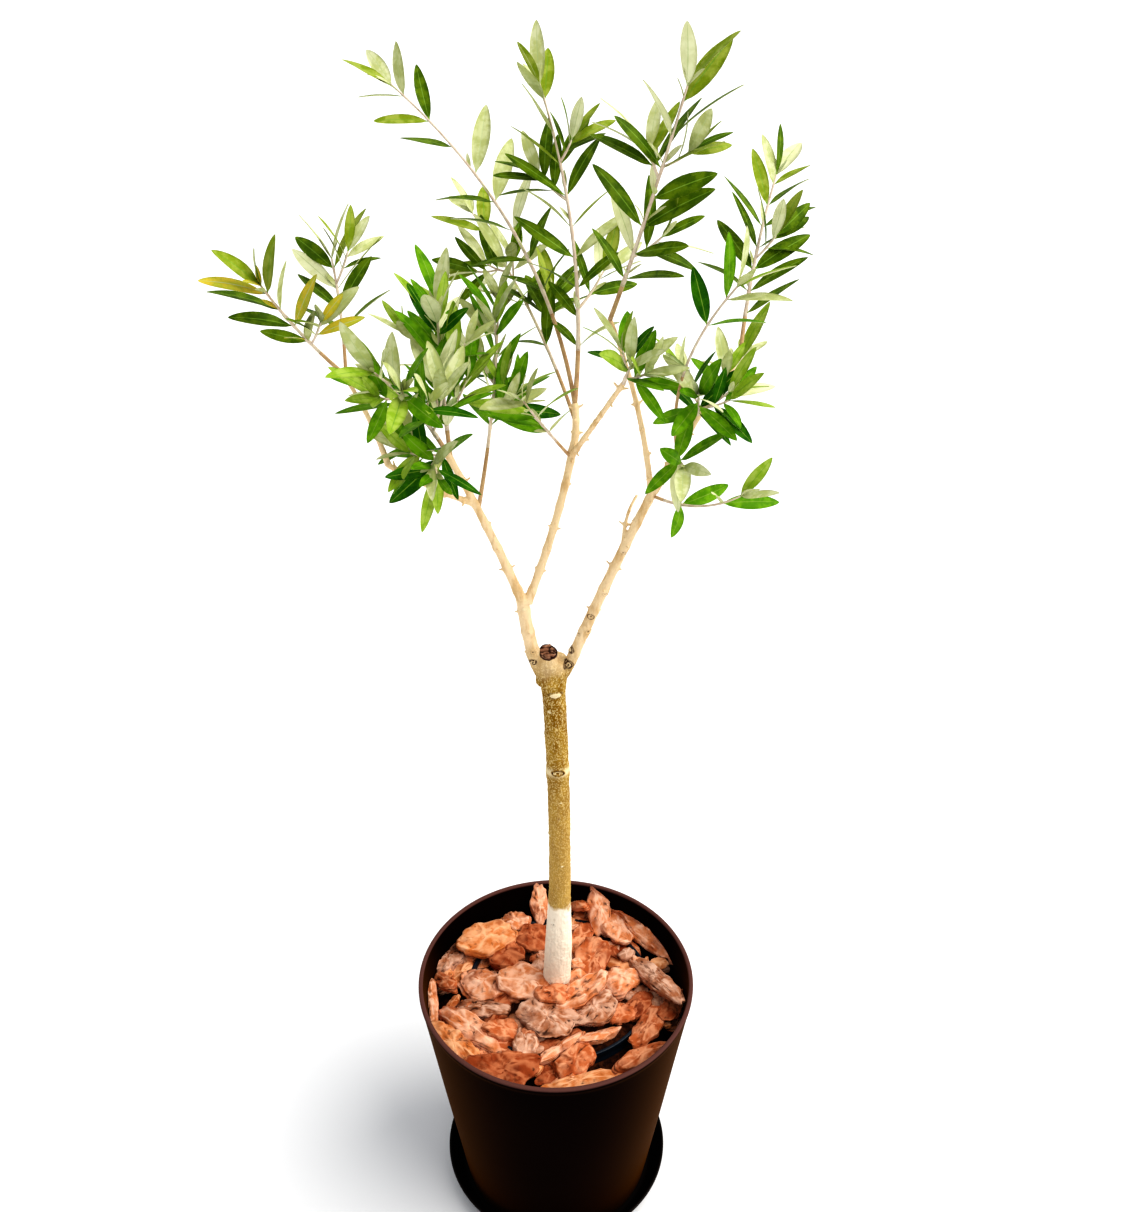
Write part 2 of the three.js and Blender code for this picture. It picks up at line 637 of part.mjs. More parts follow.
// Crossed pairs of leaves along a twig, and a small pair at its tip
function leavesAlong(path, plan, twist, seed, length, pairs, first) {
  const leaves = [];
  for (let i = 0; i < pairs; i += 1) {
    const roll = dice(seed * 100 + i);
    const share = (i + 0.5) / pairs;
    const t = first + (1 - first) * share;
    const axis = heading(path, t);
    const pair = twist + plan.turn * i + swing(roll, SWING.pair);
    for (let s = 0; s < 2; s += 1) {
      const angle = radians(pair + 180 * s + swing(roll, SWING.leaf));
      const size = length * (0.8 + 0.2 * Math.sin(Math.PI * share)) * (1 + swing(roll, SWING.size));
      const spread = radians(plan.spread * (1.1 - 0.35 * share) * (1 + swing(roll, SWING.spread)));
      const leaf = leafAt(path(t), axis, angle, spread, size, roll);
      const fallen = roll() < LEAF_LOSS;
      leaf.thick = LEAF_THICK * (1 + swing(roll, SWING.thick));
      if (!fallen) leaves.push(leaf);
    }
  }
  const roll = dice(seed * 100 + 99);
  const axis = heading(path, 1);
  for (let s = 0; s < 2; s += 1) {
    const angle = radians(twist + plan.turn * pairs + 180 * s + swing(roll, SWING.tip));
    const size = length * (0.8 + swing(roll, SWING.tipSize));
    const spread = radians(20 + swing(roll, SWING.tipSpread));
    const leaf = leafAt(path(0.995), axis, angle, spread, size, roll);
    leaf.thick = LEAF_THICK * (1 + swing(roll, SWING.thick));
    leaves.push(leaf);
  }
  return leaves;
}

// The stem and side twigs of a mass, each with its leaves
function growth(plan) {
  const shoots = [{
    path: plan.path,
    from: plan.start,
    base: plan.base,
    leaves: leavesAlong(plan.path, plan, plan.twist, plan.seed, plan.leaf, plan.pairs, plan.first),
  }];
  for (let k = 0; k < plan.twigs; k += 1) {
    const roll = dice(plan.seed * 100 + 50 + k);
    const share = (k + 0.5) / plan.twigs;
    const t = plan.first + (1 - plan.first) * share * 0.8;
    const axis = heading(plan.path, t);
    const out = outward(axis, radians(plan.twist + 45 + GOLDEN * k + swing(roll, SWING.twig)));
    const spread = radians(TWIG_SPREAD + swing(roll, SWING.twigSpread));
    const along = axis.multiplyScalar(Math.cos(spread)).addScaledVector(out, Math.sin(spread));
    along.z += TWIG_LIFT;
    along.normalize();
    const length = plan.twig * (1 - 0.35 * share) * (1 + swing(roll, SWING.twigSize));
    const reach = along.multiplyScalar(length).toArray();
    const path = arc(plan.path(t), reach, [0, 0, -0.06 * length]);
    const seed = plan.seed + 7 * (k + 1);
    shoots.push({
      path,
      from: 0,
      base: plan.base * 0.6,
      leaves: leavesAlong(path, plan, plan.twist + 30, seed, plan.leaf * TWIG_LEAF, plan.twigPairs, 0.3),
    });
  }
  return shoots;
}

function boxesMeet(a, b) {
  return [0, 1, 2].every((k) => a.min[k] <= b.max[k] && b.min[k] <= a.max[k]);
}

function touches(solid, neighbours) {
  const box = solid.boundingBox();
  return neighbours.some((other) => boxesMeet(box, other.box) && !solid.intersect(other.solid).isEmpty());
}

const bounded = (solid) => ({ solid, box: solid.boundingBox() });

function stemSolid(shoot, steps, extra) {
  const radius = (t) => (shoot.base + (TWIG_TIP - shoot.base) * t) / 2 + extra;
  return tube(shoot.path, shoot.from, 1, radius, 3, steps);
}

const mainStem = (plan) => stemSolid({ ...plan, from: plan.start }, STEM_STEPS, STEM_EXTRA);

function crosses(blade, others) {
  const box = blade.boundingBox();
  return others.some((other) => boxesMeet(box, other.box)
    && blade.intersect(other.solid).volume() > CROSSING);
}

// One mass as a single solid. A twig or leaf that would touch a neighbour, or
// pass through another leaf of the mass, is skipped.
function massSolid(plan, neighbours) {
  const parts = [mainStem(plan)];
  const blades = [];
  for (const [i, shoot] of growth(plan).entries()) {
    if (i > 0) {
      if (touches(stemSolid(shoot, 2, STEM_EXTRA + LEAF_CLEAR), neighbours)) continue;
      parts.push(stemSolid(shoot, 2, STEM_EXTRA));
    }
    for (const leaf of shoot.leaves) {
      if (touches(leafSolid(leaf, LEAF_CLEAR), neighbours)) continue;
      const blade = leafSolid(leaf);
      if (crosses(blade, blades)) continue;
      blades.push(bounded(blade));
      parts.push(blade);
    }
  }
  return wholeOf(joined(parts));
}

// ---- Assembly -----------------------------------------------------------------------

const finishes = {
  wood: { color: 0xb9a074, roughness: 0.75 },
  leaf: { color: 0x3f7a2e, roughness: 0.55 },
  pot: { color: 0x2a1714, roughness: 0.45 },
  saucer: { color: 0x120c0c, roughness: 0.5 },
  nursery: { color: 0x10161c, roughness: 0.4 },
  soil: { color: 0x2b211a, roughness: 0.95 },
  bark: { color: 0xa9583a, roughness: 0.85 },
};

function part(name, solid, finish) {
  const material = new THREE.MeshStandardMaterial({ metalness: 0, ...finishes[finish] });
  const mesh = new THREE.Mesh(geometryOf(solid), material);
  mesh.name = name;
  return mesh;
}

function buildTree() {
  settleCollars();
  const tree = new THREE.Group();
  const neighbours = [];
  const keep = (name, solid, finish) => {
    tree.add(part(name, solid, finish));
    neighbours.push(bounded(solid));
  };
  keep("trunk", trunkSolid(), "wood");
  for (const item of Object.values(limbs)) {
    if (item.parent) keep(item.name, limbSolid(item), "wood");
  }
  const stems = masses.map((plan) => bounded(mainStem(plan)));
  masses.forEach((plan, i) => {
    keep(plan.name, massSolid(plan, [...neighbours, ...stems.slice(i + 1)]), "leaf");
  });
  return tree;
}

function buildPot() {
  const pot = new THREE.Group();
  pot.add(part("saucer", saucerSolid(), "saucer"));
  pot.add(part("pot", potSolid(), "pot"));
  pot.add(part("nursery_pot", nurserySolid(), "nursery"));
  pot.add(part("soil", soilSolid(), "soil"));
  pot.add(part("bark_mulch", barkSolid(trunkClearance()), "bark"));
  return pot;
}

const olive = new THREE.Group();
olive.add(buildPot());
olive.add(buildTree());

export default olive;
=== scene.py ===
# Potted olive tree: the looks of every surface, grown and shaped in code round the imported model.
# Lengths of the growing rule are in millimetres, like the part's source; Blender objects are in metres.
import math

import bpy
import numpy as np
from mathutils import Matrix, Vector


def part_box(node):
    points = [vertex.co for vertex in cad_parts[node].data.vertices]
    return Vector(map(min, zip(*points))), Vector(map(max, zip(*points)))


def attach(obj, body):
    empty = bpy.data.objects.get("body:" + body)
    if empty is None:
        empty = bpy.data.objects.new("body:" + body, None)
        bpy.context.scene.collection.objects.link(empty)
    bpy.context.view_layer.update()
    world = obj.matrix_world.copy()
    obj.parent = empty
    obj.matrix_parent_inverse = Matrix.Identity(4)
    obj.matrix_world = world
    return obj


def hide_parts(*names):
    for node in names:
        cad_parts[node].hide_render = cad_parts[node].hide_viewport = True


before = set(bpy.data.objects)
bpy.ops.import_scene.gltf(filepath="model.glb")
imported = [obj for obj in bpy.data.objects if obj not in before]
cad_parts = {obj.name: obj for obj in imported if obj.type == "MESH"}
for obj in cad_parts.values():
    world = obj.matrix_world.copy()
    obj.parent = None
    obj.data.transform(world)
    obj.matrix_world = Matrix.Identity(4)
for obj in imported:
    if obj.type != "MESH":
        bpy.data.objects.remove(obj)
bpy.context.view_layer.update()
MM = 0.001

# ---- Sizes taken from the frame -------------------------------------------------


def box_mm(node):
    low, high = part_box(node)
    return np.array(low) / MM, np.array(high) / MM


POT_LOW, POT_HIGH = box_mm("pot")
POT_RIM = (POT_HIGH[0] - POT_LOW[0]) / 2
POT_TOP = POT_HIGH[2]
POT_BOTTOM = POT_LOW[2]
SAUCER_LOW, SAUCER_HIGH = box_mm("saucer")
SAUCER_R = (SAUCER_HIGH[0] - SAUCER_LOW[0]) / 2
SAUCER_TOP = SAUCER_HIGH[2]
NURSERY_LOW, NURSERY_HIGH = box_mm("nursery_pot")
NURSERY_R = (NURSERY_HIGH[0] - NURSERY_LOW[0]) / 2
NURSERY_AT = (NURSERY_LOW + NURSERY_HIGH)[:2] / 2
NURSERY_TOP = NURSERY_HIGH[2]
FOOT_Z = box_mm("trunk")[0][2]
GROUND = box_mm("soil")[1][2]

POT_FOOT = 109
POT_WALL = 4
BED_TOP = 262
NUGGET_THICK = 14
HEAP_RISE = 20
HEAP_SPREAD = 60

# Trunk
TRUNK_FOOT = (0, 16)
TRUNK_LEAN = (-3, -16, 454)
TRUNK_SWAY = 6
TRUNK_R = 11.1
TRUNK_TOP = 704
STUB_R = 9.3
STUB_TOP = 716
STUB_SLOPE = 24
STUB_AT = (-6, -4)
FOOT_BULB = {"extra": 4.2, "z": 370, "fade": 22}  # the pale, thicker foot
ROOT_FLARE = {"extra": 2.6, "fade": 12}
LEAF_RING = {"extra": 0.9, "z": 570, "half": 7}  # an old leaf scar all round
FORK_SWELL = {"extra": 4.4, "z": 662}
# Heights in metres between which the bark changes colour, the lower and the upper edge
PALE_FOOT = (0.404, 0.412)
WARM_STEM = (0.45, 0.66)
PALE_BOUGHS = (0.695, 0.742)

# Foliage
GOLDEN = 137.5
TWIG_TIP = 1.4
LEAF_WIDTH = 0.22  # share of its length, plus a draw up to LEAF_WIDER
LEAF_WIDER = 0.07
LEAF_CURL = 0.03  # sag at the tip as a share of its length, plus a draw up to LEAF_CURLIER
LEAF_CURLIER = 0.14
LEAF_OWN_WAY = 0.3  # how much of a leaf's face follows its shoot
LEAF_SKYWARD = 0.7  # how much of it turns to the light
LEAF_LOSS = 0.08  # share of leaves that have dropped
LEAF_FOLD = 0.07  # depth of the fold along the midrib, as a share of width
TWIG_SPREAD = 48  # degrees between a side twig and its stem
TWIG_LIFT = 0.25  # how much a side twig turns up
TWIG_LEAF = 0.92  # size of a side twig's leaves against the stem's
TWIG_FIRST = 0.3  # where its leaves begin
TWIG_GIRTH = 0.6  # its thickness against the stem's
SWING = {
    "pair": 36, "leaf": 24, "size": 0.3, "spread": 0.4, "roll": 70,
    "tip": 30, "tip_size": 0.4, "tip_spread": 16, "twig": 40, "twig_spread": 20, "twig_size": 0.3,
}
# Small new leaves: a bud pair at a shoot's tip, and a few in the axils below it.
# Where two numbers stand together, the second is the most that a draw adds to the first.
BUD = {"swing": 30, "spread": (14, 12), "size": (0.26, 0.14), "tone": 0.97}
AXIL = {"turn": 40, "swing": 50, "size": (0.2, 0.22), "spread": 26, "spread_swing": 20,
        "tone": (0.9, 0.1), "borne": 0.3}
# Short shoots in the leaf axils
FINE = {"place": (0.1, 0.85), "last": 0.82, "turn": 20, "swing": 60, "spread": 54, "spread_swing": 24,
        "length": (15, 15), "size": (0.72, 0.16), "girth": 0.5, "thinnest": 1.8, "sag": 0.05,
        "first": 0.35, "pairs": 2}


def unit(v):
    return v / np.linalg.norm(v)


LIGHT = unit(np.array([0.0, -0.5, 0.87]))

# ---- Seeded dice and frames -------------------------------------------------------


def imul(a, b):
    return (a * b) & 0xFFFFFFFF


def dice(seed):
    state = seed & 0xFFFFFFFF

    def roll():
        nonlocal state
        state = (state + 0x6D2B79F5) & 0xFFFFFFFF
        t = imul(state ^ (state >> 15), state | 1)
        t ^= (t + imul(t ^ (t >> 7), t | 61)) & 0xFFFFFFFF
        return ((t ^ (t >> 14)) & 0xFFFFFFFF) / 4294967296

    return roll


def swing(roll, width):
    return (roll() - 0.5) * width


def draw(roll, least, more):
    return least + more * roll()


def heading(path, t):
    return unit(path(min(t + 1e-3, 1)) - path(max(t - 1e-3, 0)))


def across(axis):
    front = np.array([0.0, 0.0, 1.0] if abs(axis[1]) > 0.95 else [0.0, -1.0, 0.0])
    first = unit(front - axis * axis.dot(front))
    return first, np.cross(axis, first)


def outward(axis, angle):
    first, second = across(axis)
    return first * math.cos(angle) + second * math.sin(angle)


def smoothstep(x, low, high):
    s = np.clip((x - low) / (high - low), 0, 1)
    return s * s * (3 - 2 * s)


NOISE_LAYERS = 3


# Smooth noise on points, the same each run: values from -1 to 1
def lattice(i, j, k, seed):
    h = (i * 73856093) ^ (j * 19349663) ^ (k * 83492791) ^ (seed * 2654435761)
    h = (h ^ (h >> 13)) * 1274126177 & 0x7FFFFFFF
    h = (h ^ (h >> 16)) & 0xFFFF
    return h / 32767.5 - 1


def noise(points, size, seed):
    p = np.asarray(points) / size
    cell = np.floor(p).astype(np.int64)
    f = p - cell
    f = f * f * (3 - 2 * f)
    total = np.zeros(len(p))
    for dx in (0, 1):
        for dy in (0, 1):
            for dz in (0, 1):
                weight = np.ones(len(p))
                for axis, d in enumerate((dx, dy, dz)):
                    weight = weight * (f[:, axis] if d else 1 - f[:, axis])
                total += weight * lattice(cell[:, 0] + dx, cell[:, 1] + dy, cell[:, 2] + dz, seed)
    return total


def rough_noise(points, size, seed):
    total = 0
    for k in range(NOISE_LAYERS):
        total = total + noise(points, size / 2**k, seed + 31 * k) / 2**k
    return total / 1.6


# ---- Limbs ---------------------------------------------------------------------------

# The same curves as the solids: each limb starts at a station of its parent,
# moved by offset, and ends at start + reach, with its middle pushed by bow.
limbs = {}


def arc(start, reach, bow):
    start, reach, bow = np.array(start, float), np.array(reach, float), np.array(bow, float)
    return lambda t: start + reach * t + bow * 4 * t * (1 - t)


def girth(z):
    bulb = FOOT_BULB["extra"] / (1 + np.exp((z - FOOT_BULB["z"]) / FOOT_BULB["fade"]))
    flare = ROOT_FLARE["extra"] * np.exp((GROUND - z) / ROOT_FLARE["fade"])
    ring = LEAF_RING["extra"] * np.exp(-(((z - LEAF_RING["z"]) / LEAF_RING["half"]) ** 2))
    swell = FORK_SWELL["extra"] * smoothstep(z, FORK_SWELL["z"], TRUNK_TOP)
    return TRUNK_R + bulb + flare + ring + swell


def limb(name, parent, at, reach, bow, base, tip, offset=(0, 0, 0)):
    start = limbs[parent]["path"](at) + np.array(offset, float)
    limbs[name] = {
        "name": name,
        "path": arc(start, reach, bow),
        "length": float(np.linalg.norm(reach)),
        "radius": lambda t: (base + (tip - base) * t) / 2,
    }


limbs["trunk"] = {
    "name": "trunk",
    "path": arc((*TRUNK_FOOT, FOOT_Z), TRUNK_LEAN, (TRUNK_SWAY, 0, 0)),
    "length": TRUNK_LEAN[2],
    "radius": lambda t: girth(FOOT_Z + TRUNK_LEAN[2] * t),
}
limb("bough_left_foot", "trunk", 0.94, (-18.7, -6, 91), (-3, 1, 0), 13.4, 11, (-8, -1, 0))
limb("bough_left", "bough_left_foot", 1, (-59, -34, 158), (1, 3, 1), 9, 5.6)
limb("bough_left_low", "bough_left", 0.66, (-65, -32, 47), (-1, 0, -2), 5.2, 4.4)
limb("bough_left_outer", "bough_left_low", 1, (-27, -10, 78), (2, 1, 1), 4.4, 3.6)
limb("bough_middle", "bough_left_foot", 1, (40, 26, 133), (3, 0, -1), 7.6, 6.8, (4, 0, 0))
limb("bough_middle_top", "bough_middle", 1, (2, 8, 42), (2, -1, 0), 6.8, 5.6)
limb("bough_middle_right", "bough_middle", 0.98, (39, -77, 89), (0, 0, 0), 5.2, 4)
limb("bough_right_foot", "trunk", 0.94, (77.8, -22, 205.8), (-1.5, 0, 2), 11.4, 7.4, (7.5, 0, 0))
limb("bough_right", "bough_right_foot", 1, (34, -8, 72), (1, 0, 0), 7, 5.6)
limb("bough_right_outer", "bough_right", 1, (33, 25, 46), (3, -3, -1), 4.8, 3.6)
limb("bough_right_inner", "bough_right_foot", 0.98, (-38, -8, 150), (5, 6, 1), 5.2, 3.6)
limb("twig_right", "bough_right_foot", 0.72, (11, 16, 43), (-4, -3, 3), 3.8, 2.4)

# ---- Leaf masses -----------------------------------------------------------------------

masses = []
SEED_STEP = 100
OPEN_SHOOT = {"leaf": 56, "spread": 46, "twist": 60, "turn": 10}
DENSE_SHOOT = {"leaf": 54, "spread": 42, "twist": 45, "turn": 90, "twigs": 3, "twig": 36}
WIDE_SPRAY = {"leaf": 50, "spread": 58, "twist": 30, "turn": 90}


def mass(name, parent, at, reach, bow, kind, **plan):
    start = limbs[parent]["path"](at)
    masses.append({
        "name": name, "path": arc(start, reach, bow), "length": float(np.linalg.norm(reach)),
        "seed": SEED_STEP * (len(masses) + 1),
        "twigs": 0, "twig_pairs": 2, "fine": 0, "turning": False, **kind, **plan,
    })


mass("leaves_left_tip", "bough_left_outer", 1, (-43, -40, 74), (-4, 3, -1),
     OPEN_SHOOT, base=3.2, first=0.3, pairs=4, leaf=50, fine=1, turning=True)
mass("leaves_left_inner", "bough_left_outer", 0.95, (-10, 39, 80), (2, -1, 1),
     OPEN_SHOOT, base=2.8, first=0.3, pairs=4, leaf=50, fine=1)
mass("leaves_left_low", "bough_left", 1, (-8, -33, 0), (-1, 0, -1),
     WIDE_SPRAY, base=3.5, first=0.1, pairs=4, twigs=2, twig=25, fine=2)
mass("leaves_left_front", "bough_left", 0.97, (-42, -74, 91), (3, 2, 3),
     DENSE_SHOOT, base=4, first=0.15, pairs=5, twist=50, fine=3)
mass("leaves_left_middle", "bough_left", 0.94, (-9, 39, 119), (0, -12, 4),
     DENSE_SHOOT, base=4, first=0.15, pairs=7, fine=3)
mass("leaves_left_back", "bough_left", 0.62, (15, 121, 146), (3, 4, -4),
     DENSE_SHOOT, base=4, first=0.35, pairs=6, fine=3)
mass("leaves_tall_left", "bough_middle_top", 0.98, (-157, 129, 240), (27, -3, 10),
     OPEN_SHOOT, base=4, first=0.28, pairs=8)
mass("leaves_back_left", "bough_middle_top", 0.6, (-93, 143, 149), (7, 2, 2),
     DENSE_SHOOT, base=3.5, first=0.25, pairs=4, twist=40, twigs=2, fine=3)
mass("leaves_top", "bough_middle_top", 1, (-28, 24, 246), (13, 2, 1),
     OPEN_SHOOT, base=4.5, first=0.14, pairs=9, leaf=52, twigs=2, twig=45, fine=1)
mass("leaves_middle_low", "bough_middle", 0.97, (-39, -49, 67), (-3, 4, 1),
     OPEN_SHOOT, base=3, first=0.35, pairs=5)
mass("leaves_middle_right", "bough_middle_right", 1, (4, -10, 16), (0, 0, 0),
     WIDE_SPRAY, base=3.5, first=0.1, pairs=2, twigs=2, twig=25)
mass("leaves_upper_right", "bough_right_inner", 1, (41, -100, 171), (1, -1, -1),
     OPEN_SHOOT, base=3.8, first=0.15, pairs=7, leaf=52, twigs=2, twig=30, fine=1)
mass("leaves_far_right", "bough_right_outer", 1, (30, 75, 120), (-3, 0, 1),
     OPEN_SHOOT, base=3.5, first=0.12, pairs=7, fine=1)
mass("leaves_right_front", "bough_right", 0.5, (28, -74, 151), (-16, 0, 3),
     OPEN_SHOOT, base=3, first=0.7, pairs=2, leaf=50)
mass("leaves_right", "bough_right", 0.95, (-4, -30, 26), (0, 0, 0),
     WIDE_SPRAY, base=3, first=0.1, pairs=5, twigs=2, twig=35, fine=2)
mass("leaves_right_inner", "bough_right", 0.4, (4, -42, 12), (0, 0, 2),
     WIDE_SPRAY, base=3, first=0.25, pairs=3)
mass("leaves_right_spur", "bough_right_outer", 0.35, (25, 45, 15), (0, 0, 0),
     WIDE_SPRAY, base=2.5, first=0.4, pairs=2)
mass("leaves_right_low", "bough_right_foot", 0.98, (66, -54, 22), (2, -1, -9),
     WIDE_SPRAY, base=3, first=0.1, pairs=2)

# ---- The growing rule ---------------------------------------------------------------------


def leaf_at(root, axis, angle, spread, length, roll):
    out = outward(axis, angle)
    along = unit(axis * math.cos(spread) + out * math.sin(spread))
    face = unit(axis * math.sin(spread) - out * math.cos(spread))
    sky = LIGHT - along * LIGHT.dot(along)
    face = unit(face * LEAF_OWN_WAY + sky * LEAF_SKYWARD)
    turn = math.radians(swing(roll, SWING["roll"]))
    face = unit(face * math.cos(turn) + np.cross(along, face) * math.sin(turn))
    width = length * draw(roll, LEAF_WIDTH, LEAF_WIDER)
    curl = draw(roll, LEAF_CURL, LEAF_CURLIER)
    return {"root": root, "along": along, "face": face, "length": length, "width": width, "curl": curl}


def leaves_along(path, plan, twist, seed, length, pairs, first):
    leaves = []
    for i in range(pairs):
        roll = dice(seed * 100 + i)
        share = (i + 0.5) / pairs
        t = first + (1 - first) * share
        axis = heading(path, t)
        pair = twist + plan["turn"] * i + swing(roll, SWING["pair"])
        for s in range(2):
            angle = math.radians(pair + 180 * s + swing(roll, SWING["leaf"]))
            size = length * (0.8 + 0.2 * math.sin(math.pi * share)) * (1 + swing(roll, SWING["size"]))
            opening = plan["spread"] * (1.1 - 0.35 * share)
            spread = math.radians(opening * (1 + swing(roll, SWING["spread"])))
            leaf = leaf_at(path(t), axis, angle, spread, size, roll)
            fallen = roll() < LEAF_LOSS
            leaf["age"] = share
            leaf["tone"] = roll()
            if not fallen:
                leaves.append(leaf)
    roll = dice(seed * 100 + 99)
    axis = heading(path, 1)
    for s in range(2):
        angle = math.radians(twist + plan["turn"] * pairs + 180 * s + swing(roll, SWING["tip"]))
        size = length * (0.8 + swing(roll, SWING["tip_size"]))
        spread = math.radians(20 + swing(roll, SWING["tip_spread"]))
        leaf = leaf_at(path(0.995), axis, angle, spread, size, roll)
        leaf["age"] = 1
        leaf["tone"] = roll()
        leaves.append(leaf)
    return leaves


def young_leaves(path, plan, seed, length, pairs, first):
    leaves = []
    roll = dice(seed * 100 + 77)
    axis = heading(path, 1)
    for s in range(2):
        angle = math.radians(plan["twist"] + 90 * pairs + 90 + 180 * s + swing(roll, BUD["swing"]))
        spread = math.radians(draw(roll, *BUD["spread"]))
        size = length * draw(roll, *BUD["size"])
        leaf = leaf_at(path(1), axis, angle, spread, size, roll)
        leaf["age"] = 1
        leaf["tone"] = BUD["tone"]
        leaves.append(leaf)
    for i in range(pairs):
        t = first + (1 - first) * (i + 0.5) / pairs
        axis = heading(path, t)
        for s in range(2):
            turn = plan["twist"] + 90 * i + 180 * s + AXIL["turn"]
            angle = math.radians(turn + swing(roll, AXIL["swing"]))
            size = length * draw(roll, *AXIL["size"])
            spread = math.radians(AXIL["spread"] + swing(roll, AXIL["spread_swing"]))
            leaf = leaf_at(path(min(1, t + 0.02)), axis, angle, spread, size, roll)
            leaf["age"] = 1
            leaf["tone"] = draw(roll, *AXIL["tone"])
            if roll() < AXIL["borne"]:
                leaves.append(leaf)
    return leaves


def shoot_of(path, base, first, pairs, length, leaves):
    return {"path": path, "base": base, "first": first, "pairs": pairs,
            "length": length, "leaves": leaves}


def growth(plan):
    """Every shoot of a mass with its leaves: the stem, its side twigs and the finer ones."""
    path, seed, size = plan["path"], plan["seed"], plan["leaf"]
    pairs, first = plan["pairs"], plan["first"]
    leaves = leaves_along(path, plan, plan["twist"], seed, size, pairs, first)
    leaves += young_leaves(path, plan, seed, size, pairs, first)
    shoots = [shoot_of(path, plan["base"], first, pairs, plan["length"], leaves)]
    for k in range(plan["twigs"]):
        shoots.append(side_twig(plan, k))
    return shoots + fine_twigs(plan, shoots)


def side_way(axis, turn, spread):
    """The heading of a twig that leaves a stem at a turn and a spread, lifted a little."""
    out = outward(axis, turn)
    return unit(axis * math.cos(spread) + out * math.sin(spread) + np.array([0, 0, TWIG_LIFT]))


def side_twig(plan, k):
    roll = dice(plan["seed"] * 100 + 50 + k)
    share = (k + 0.5) / plan["twigs"]
    t = plan["first"] + (1 - plan["first"]) * share * 0.8
    turn = math.radians(plan["twist"] + 45 + GOLDEN * k + swing(roll, SWING["twig"]))
    spread = math.radians(TWIG_SPREAD + swing(roll, SWING["twig_spread"]))
    along = side_way(heading(plan["path"], t), turn, spread)
    length = plan["twig"] * (1 - 0.35 * share) * (1 + swing(roll, SWING["twig_size"]))
    path = arc(plan["path"](t), along * length, (0, 0, -0.06 * length))
    seed = plan["seed"] + 7 * (k + 1)
    size = plan["leaf"] * TWIG_LEAF
    pairs = plan["twig_pairs"]
    leaves = leaves_along(path, plan, plan["twist"] + 30, seed, size, pairs, TWIG_FIRST)
    leaves += young_leaves(path, plan, seed, size, pairs, TWIG_FIRST)
    return shoot_of(path, plan["base"] * TWIG_GIRTH, TWIG_FIRST, pairs, length, leaves)


def fine_twigs(plan, shoots):
    """Finer twigs than the solids have, within the same reach."""
    fine = []
    for k in range(plan["fine"]):
        roll = dice(plan["seed"] * 100 + 60 + k)
        host = shoots[k % len(shoots)]
        t = host["first"] + (FINE["last"] - host["first"]) * draw(roll, *FINE["place"])
        turn = math.radians(plan["twist"] + FINE["turn"] + GOLDEN * k + swing(roll, FINE["swing"]))
        spread = math.radians(FINE["spread"] + swing(roll, FINE["spread_swing"]))
        along = side_way(heading(host["path"], t), turn, spread)
        length = draw(roll, *FINE["length"])
        path = arc(host["path"](t), along * length, (0, 0, -FINE["sag"] * length))
        seed = plan["seed"] + 500 + 11 * k
        size = plan["leaf"] * draw(roll, *FINE["size"])
        leaves = leaves_along(path, plan, plan["twist"] + 60, seed, size, FINE["pairs"], FINE["first"])
        base = max(FINE["thinnest"], plan["base"] * FINE["girth"])
        fine.append(shoot_of(path, base, FINE["first"], FINE["pairs"], length, leaves))
    return fine


# ---- Mesh helpers ---------------------------------------------------------------------------


class Shape:
    """Points, faces and each face's material number, gathered for one piece."""

    def __init__(self):
        self.points = []
        self.faces = []
        self.paint = []
        self.marks = []
        self.count = 0

    def add(self, points, faces, paint=0, marks=None):
        points = np.asarray(points, float)
        faces = np.asarray(faces, int)
        self.points.append(points)
        self.faces.append(faces + self.count)
        self.paint.append(np.broadcast_to(np.asarray(paint, int), len(faces)))
        self.marks.append(np.zeros(len(points)) if marks is None else marks)
        self.count += len(points)


def make_piece(name, shape, materials, slot, stands_for=()):
    """A mesh object from a shape; with a slot it rides the plant and may replace solids."""
    points = np.concatenate(shape.points) * MM
    mesh = bpy.data.meshes.new(name)
    mesh.vertices.add(len(points))
    mesh.vertices.foreach_set("co", points.astype(np.float32).ravel())
    corners, starts, sizes = [], [], []
    at = 0
    for faces in shape.faces:
        n = faces.shape[1]
        corners.append(faces.ravel())
        starts.append(at + n * np.arange(len(faces)))
        sizes.append(np.full(len(faces), n))
        at += faces.size
    corners, starts = np.concatenate(corners), np.concatenate(starts)
    mesh.loops.add(len(corners))
    mesh.loops.foreach_set("vertex_index", corners.astype(np.int32))
    mesh.polygons.add(len(starts))
    mesh.polygons.foreach_set("loop_start", starts.astype(np.int32))
    mesh.polygons.foreach_set("loop_total", np.concatenate(sizes).astype(np.int32))
    mesh.polygons.foreach_set("material_index", np.concatenate(shape.paint).astype(np.int32))
    mesh.update(calc_edges=True)
    mesh.validate()
    mesh.polygons.foreach_set("use_smooth", [True] * len(mesh.polygons))
    hollow = mesh.attributes.new("hollow", "FLOAT", "POINT")
    hollow.data.foreach_set("value", np.concatenate(shape.marks).astype(np.float32))
    for material in materials:
        mesh.materials.append(material)
    piece = bpy.data.objects.new(name, mesh)
    bpy.context.scene.collection.objects.link(piece)
    if slot:
        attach(piece, "root")
        if stands_for:
            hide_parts(*stands_for)
    return piece


def turns_of(count):
    """The angles of so many points spread evenly round a ring."""
    return np.arange(count) / count * 2 * math.pi


def grid_faces(rows, columns, ring=False):
    """Four-sided faces between rows of points; a ring closes each row on itself."""
    r = np.arange(rows - 1)[:, None]
    c = np.arange(columns if ring else columns - 1)[None, :]
    a = r * columns + c
    b = r * columns + (c + 1) % columns
    return np.stack([a, b, b + columns, a + columns], -1).reshape(-1, 4)


